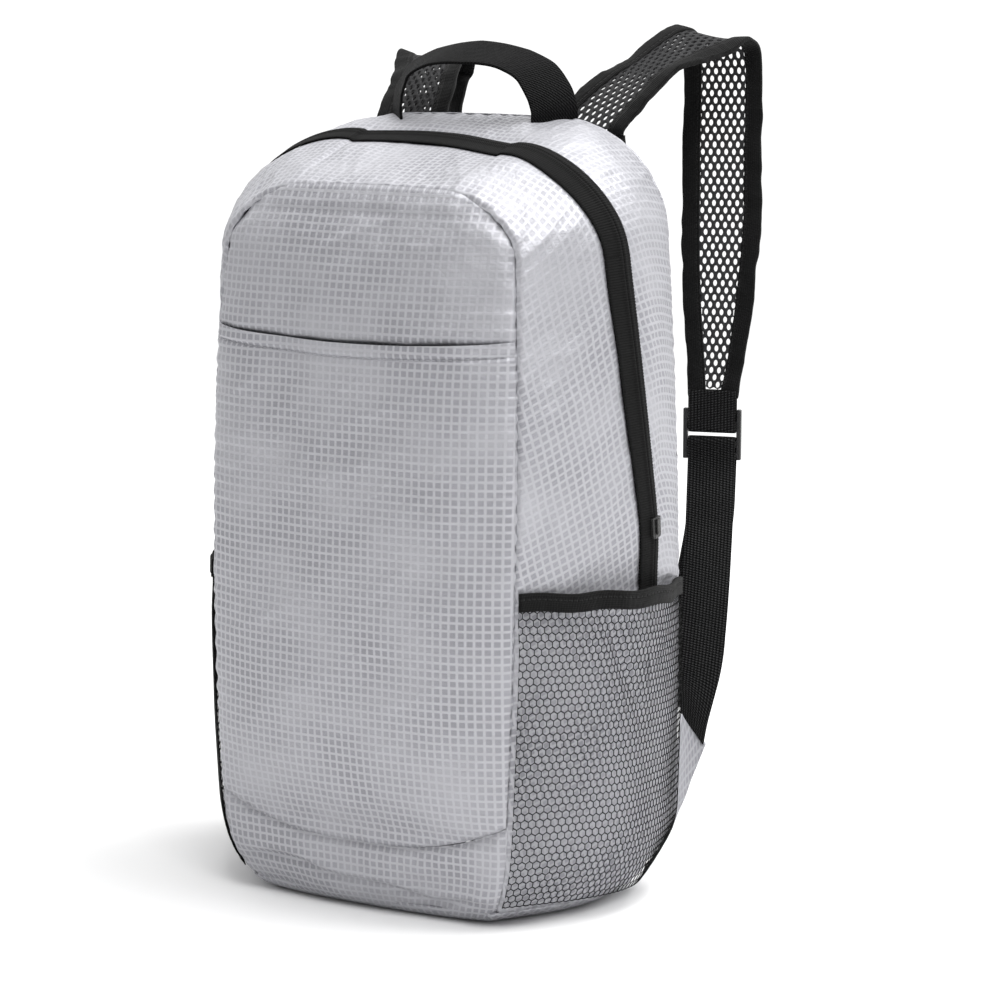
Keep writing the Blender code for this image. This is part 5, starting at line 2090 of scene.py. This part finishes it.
    @staticmethod
    def shift_metres(obj: bpy.types.Object, sign: float, half: Array) -> None:
        """Counts the length across from the mesh's edge, where the stitches run.

        Args:
            obj: the binding.
            sign: which way it lies.
            half: half the mesh's width along the strap.
        """
        layer = obj.data.uv_layers[UV_NAME]
        uv = np.empty(len(layer.data) * 2, np.float32)
        layer.data.foreach_get("uv", uv)
        uv = uv.reshape(-1, 2)
        shares = uv[:, 1] / max(float(uv[:, 1].max()), 1e-6)
        uv[:, 0] = uv[:, 0] * sign - np.interp(shares, np.linspace(0.0, 1.0, len(half)), half)
        layer.data.foreach_set("uv", uv.ravel())

    def levels(self) -> tuple[float, float, float]:
        """Depths below the lock's top: upper bar, slot and middle bar."""
        slot = self.notch + self.bar
        return self.notch, slot, slot + 2.0 * (self.webbing_thick + self.turn_room) + self.lock_gap

    def spot(self, away: Array, out: Array, down: Array) -> Array:
        """Points in the lock's own plane.

        Args:
            away: distances across.
            out: distances out of the face.
            down: distances below the top edge.

        Returns:
            Points.
        """
        way, face = self.plan
        base = self.lock_top[None, :] + np.outer(np.atleast_1d(away), way)
        base = base + np.outer(np.atleast_1d(out), face)
        base[:, 2] -= np.atleast_1d(down)
        return base

    def build_lock(self) -> None:
        """Ladder lock: two rounded rails joined by three bars."""
        upper, _, middle = self.levels()
        inner = self.webbing_wide + self.lock_ease
        outer = 0.5 * inner + 0.5 * self.rail
        tall = self.lock_tall
        parts = [
            (side * outer, 0.0, -0.5 * tall, self.rail, self.lock_thick * self.rail_swell, tall)
            for side in (-1.0, 1.0)
        ]
        for down in (upper, middle, tall - self.bar):
            parts.append((0.0, 0.0, -down - 0.5 * self.bar, inner + self.rail, self.lock_thick, self.bar))
        ways = (*self.plan, np.array((0.0, 0.0, 1.0)))
        lock = make_blocks(f"lock_body_{self.side.word}", parts, self.lock_top, ways, self.lock_soft)
        dress(lock, self.looks.plastic, Slot.PLASTIC, f"ladder_lock_{self.side.word}")

    def build_loop(self) -> None:
        """Folded webbing that hangs the lock from the strap's end."""
        upper, slot, _ = self.levels()
        reach = 0.5 * self.lock_thick + GAP + 0.5 * self.webbing_thick
        under = slot + self.turn_room + 0.5 * self.webbing_thick
        rows = [(-reach, self.loop_start - self.lock_drop), (-reach, upper)]
        for angle in np.linspace(0.0, math.pi, 7):
            rows.append((-reach * math.cos(angle), slot - GAP + (under - slot + GAP) * math.sin(angle)))
        rows += [(reach, upper), (reach, self.loop_start - self.lock_drop)]
        out, down = np.array(rows).T
        points = spline(self.spot(0.0 * out, out, down), 60)
        ribbon = Ribbon.along(points, lambda s: np.tile(self.plan[0], (len(s), 1)))
        half = 0.5 * self.webbing_wide
        obj = sweep(f"lock_loop_{self.side.word}", ribbon, -half, half, self.webbing_thick, roundness=0.35)
        dress(obj, self.looks.webbing, Slot.WEBBING, f"buckle_loop_{self.side.word}")

    def tab_corners(self) -> tuple[Array, Array]:
        """Inner and outer corner of the webbing's end on the tab.

        Returns:
            The two corners.
        """
        s = self.side.value
        middle = np.array((s * self.tab_out, self.tab_back, self.tab_top))
        half = self.plan[0] * 0.5 * self.webbing_wide * s * self.tab_narrow
        rise = np.array((0.0, 0.0, self.tab_slant))
        return middle - half + rise, middle + half - rise

    def build_webbing(self) -> None:
        """Adjusting webbing: up from the tab, over the middle bar, and down behind as a free tail."""
        middle = self.levels()[2]
        way, face = self.plan
        s = self.side.value
        reach = 0.5 * self.lock_thick + GAP + 0.5 * self.webbing_thick
        near = 0.5 * (self.webbing_thick + self.layer_room)
        over = middle - self.turn_room - 0.5 * self.webbing_thick
        turn_from = middle + GAP
        inner, outer = self.tab_corners()
        end, end_half = 0.5 * (inner + outer), 0.5 * (outer - inner) * s
        down = self.spot(0.0, 0.0, self.lock_tall + 2.0 * GAP)[0]
        full = float(np.linalg.norm(down - end))
        flat = way * 0.5 * self.webbing_wide

        def layer(share: float, out: float) -> Array:
            """One of the two layers that run side by side."""
            bow = math.sin(math.pi * share) * self.bow
            return mix(down, end, share) + np.array((s * bow, -bow, 0.0)) + face * out

        rows = []
        for share in np.linspace(1.0, 0.0, 15):
            narrow = float(smooth((share - 0.72) / 0.28))
            lift = -float(mix(reach, near, smooth(share / 0.25)))
            rows.append((*layer(share, lift), *mix(flat, end_half, narrow)))
        for angle in np.linspace(0.0, math.pi, 7):
            lower = turn_from - (turn_from - over) * math.sin(angle)
            spot = self.spot(0.0, -reach * math.cos(angle), lower)[0]
            rows.append((*spot, *flat))
        for share in np.linspace(0.0, self.tail_long / full, 11):
            shift = way * (-s * self.tail_shift * float(smooth((share - 0.15) / 0.45)))
            lift = float(mix(reach, near, smooth(share / 0.25)))
            rows.append((*(layer(share, lift) + shift), *flat))
        curve = spline(np.array(rows), 420)
        halves = np.linalg.norm(curve[:, 3:], axis=1)
        across = unit(curve[:, 3:])
        ribbon = Ribbon(curve[:, :3], across, unit(np.cross(np.gradient(curve[:, :3], axis=0), across)))

        def ripple(length: Array, away: Array) -> Array:
            """Slight ripples where the webbing has been creased."""
            broad = self.noise.cloud(length / 0.030, away / 0.080 + 6.0, 2) * 0.0005
            return broad * smooth(length / 0.01)

        obj = sweep(
            f"adjusting_webbing_{self.side.word}", ribbon, -halves, halves, self.webbing_thick, ripple, 0.35
        )
        dress(obj, self.looks.webbing, Slot.WEBBING, f"webbing_{self.side.word}")

    def build_tab(self) -> None:
        """Cloth tab between the side seam and the webbing's end."""
        s = self.side.value
        inner, outer = self.tab_corners()
        along = unit(outer - inner)
        away = np.array((-along[2], 0.0, along[0])) * self.tab_under
        if away[2] < 0.0:
            away = -away
        behind = self.body.back_depth + CLOTH + 2.0 * GAP
        seam = float(self.body.back.half(self.tab_top)) - self.tab_tucked
        high = np.array((s * seam, behind, self.tab_top - self.tab_slant))
        foot = vectors(s * self.body.back.half(self.tab_low), self.body.back_depth, self.tab_low)
        low = np.array((self.body.tuck(foot)[0], behind, self.tab_low))
        u, v = np.meshgrid(np.linspace(0.0, 1.0, 24), np.linspace(0.0, 1.0, 30))
        u, v = u[..., None], v[..., None]
        points = mix(mix(high, low, u), mix(inner, outer, u) + away, v)
        uv = cloth_metres(points, 0)
        lift = self.noise.cloud(uv[..., 0] / 0.012, uv[..., 1] / 0.03, 2) * 0.0008
        points = points + surface_normals(points) * (lift * np.sin(math.pi * v[..., 0]))[..., None]
        obj = make_sheet(f"tab_cloth_{self.side.word}", points, uv, 0.0010)
        dress(obj, self.looks.cloth, Slot.SILVER, f"strap_tab_{self.side.word}")

    def build(self) -> None:
        """Builds the strap and all that hangs from it."""
        ribbon = self.route()
        self.build_mesh(ribbon)
        self.build_bindings(ribbon)
        self.build_lock()
        self.build_loop()
        self.build_webbing()
        self.build_tab()


@dataclass
class Studio:
    """Camera, pale floor and soft light."""

    spot: tuple[float, float, float] = (0.90248, -1.47971, 0.50726)
    tilt: float = 80.36
    yaw: float = 30.184
    lens: float = 116.16
    floor: float = 3.8
    key: float = 58.0
    front: float = 29.0
    dim: float = 0.26
    bright: float = 1.12
    bright_way: tuple[float, float, float] = (-0.15, 0.55, 0.82)
    bright_from: float = -0.25
    bright_to: float = 0.60
    floor_shade: float = 0.86
    floor_roughness: float = 0.9
    key_spot: tuple[float, float, float] = (0.92, 0.55, 2.35)
    key_size: float = 1.5
    front_spot: tuple[float, float, float] = (0.95, -1.15, 2.45)
    front_size: float = 1.0
    aim: tuple[float, float, float] = (0.0, 0.0, 0.25)

    def area(self, name: str, spot: Sequence[float], size: float, watts: float) -> None:
        """A soft square light that looks at the pack.

        Args:
            name: the light's name.
            spot: where it stands.
            size: its side.
            watts: its power.
        """
        data = bpy.data.lights.new(name, "AREA")
        data.energy = watts
        data.size = size
        lamp = bpy.data.objects.new(name, data)
        lamp.location = spot
        lamp.rotation_euler = (Vector(self.aim) - Vector(spot)).to_track_quat("-Z", "Y").to_euler()
        bpy.context.scene.collection.objects.link(lamp)

    def build(self) -> None:
        """Builds the studio."""
        self.build_camera()
        self.build_floor()
        self.build_world()
        self.area("key_light", self.key_spot, self.key_size, self.key)
        self.area("front_light", self.front_spot, self.front_size, self.front)
        bpy.context.scene.view_settings.view_transform = "Standard"
        bpy.context.scene.view_settings.look = "None"

    def build_camera(self) -> None:
        """Camera at the photograph's angle."""
        data = bpy.data.cameras.new("studio_camera")
        data.sensor_width = 36.0
        data.lens = self.lens
        camera = bpy.data.objects.new("studio_camera", data)
        camera.location = self.spot
        camera.rotation_euler = (math.radians(self.tilt), 0.0, math.radians(self.yaw))
        bpy.context.scene.collection.objects.link(camera)
        bpy.context.scene.camera = camera

    def build_floor(self) -> None:
        """Plain pale floor."""
        h = 0.5 * self.floor
        mesh = bpy.data.meshes.new("studio_floor")
        mesh.from_pydata([(-h, -h, 0.0), (h, -h, 0.0), (h, h, 0.0), (-h, h, 0.0)], [], [(0, 1, 2, 3)])
        floor = bpy.data.objects.new("studio_floor", mesh)
        bpy.context.scene.collection.objects.link(floor)
        pale = bpy.data.materials.new("pale_floor")
        pale.use_nodes = True
        shader = pale.node_tree.nodes["Principled BSDF"]
        shader.inputs["Base Color"].default_value = (*[self.floor_shade] * 3, 1.0)
        shader.inputs["Roughness"].default_value = self.floor_roughness
        mesh.materials.append(pale)

    def build_world(self) -> None:
        """White backdrop, with light that dims towards the front left."""
        world = bpy.data.worlds.new("studio_world")
        world.use_nodes = True
        tree = world.node_tree
        place = tree.nodes.new("ShaderNodeTexCoord")
        along = tree.nodes.new("ShaderNodeVectorMath")
        along.operation = "DOT_PRODUCT"
        along.inputs[1].default_value = self.bright_way
        tree.links.new(place.outputs["Generated"], along.inputs[0])
        ramp = tree.nodes.new("ShaderNodeMapRange")
        ramp.interpolation_type = "SMOOTHSTEP"
        values = {
            "From Min": self.bright_from, "From Max": self.bright_to,
            "To Min": self.dim, "To Max": self.bright,
        }
        for label, value in values.items():
            ramp.inputs[label].default_value = value
        tree.links.new(along.outputs["Value"], ramp.inputs["Value"])
        seen = tree.nodes.new("ShaderNodeLightPath")
        backdrop = tree.nodes.new("ShaderNodeMath")
        backdrop.operation = "MAXIMUM"
        tree.links.new(ramp.outputs["Result"], backdrop.inputs[0])
        tree.links.new(seen.outputs["Is Camera Ray"], backdrop.inputs[1])
        tree.links.new(backdrop.outputs["Value"], tree.nodes["Background"].inputs["Strength"])
        tree.nodes["Background"].inputs["Color"].default_value = (1.0, 1.0, 1.0, 1.0)
        bpy.context.scene.world = world


def corners(box: tuple[Vector, Vector]) -> list[list[float]]:
    """A box as plain lists."""
    return [list(box[0]), list(box[1])]


def main() -> None:
    """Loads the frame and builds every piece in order."""
    logging.basicConfig(level=logging.INFO, format="%(message)s")
    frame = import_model()
    LOG.info("frame: %d solids", len(frame["nodes"]))
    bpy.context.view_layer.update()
    looks = Finishes()
    Studio().build()
    Shell(BODY, looks).build()
    Zip(BODY, looks).build()
    for side in Side:
        NetPocket(BODY, looks, side).build()
        Strap(BODY, looks, side).build()
    Handle(looks).build()
    bpy.context.view_layer.update()


if __name__ == "__main__":
    main()
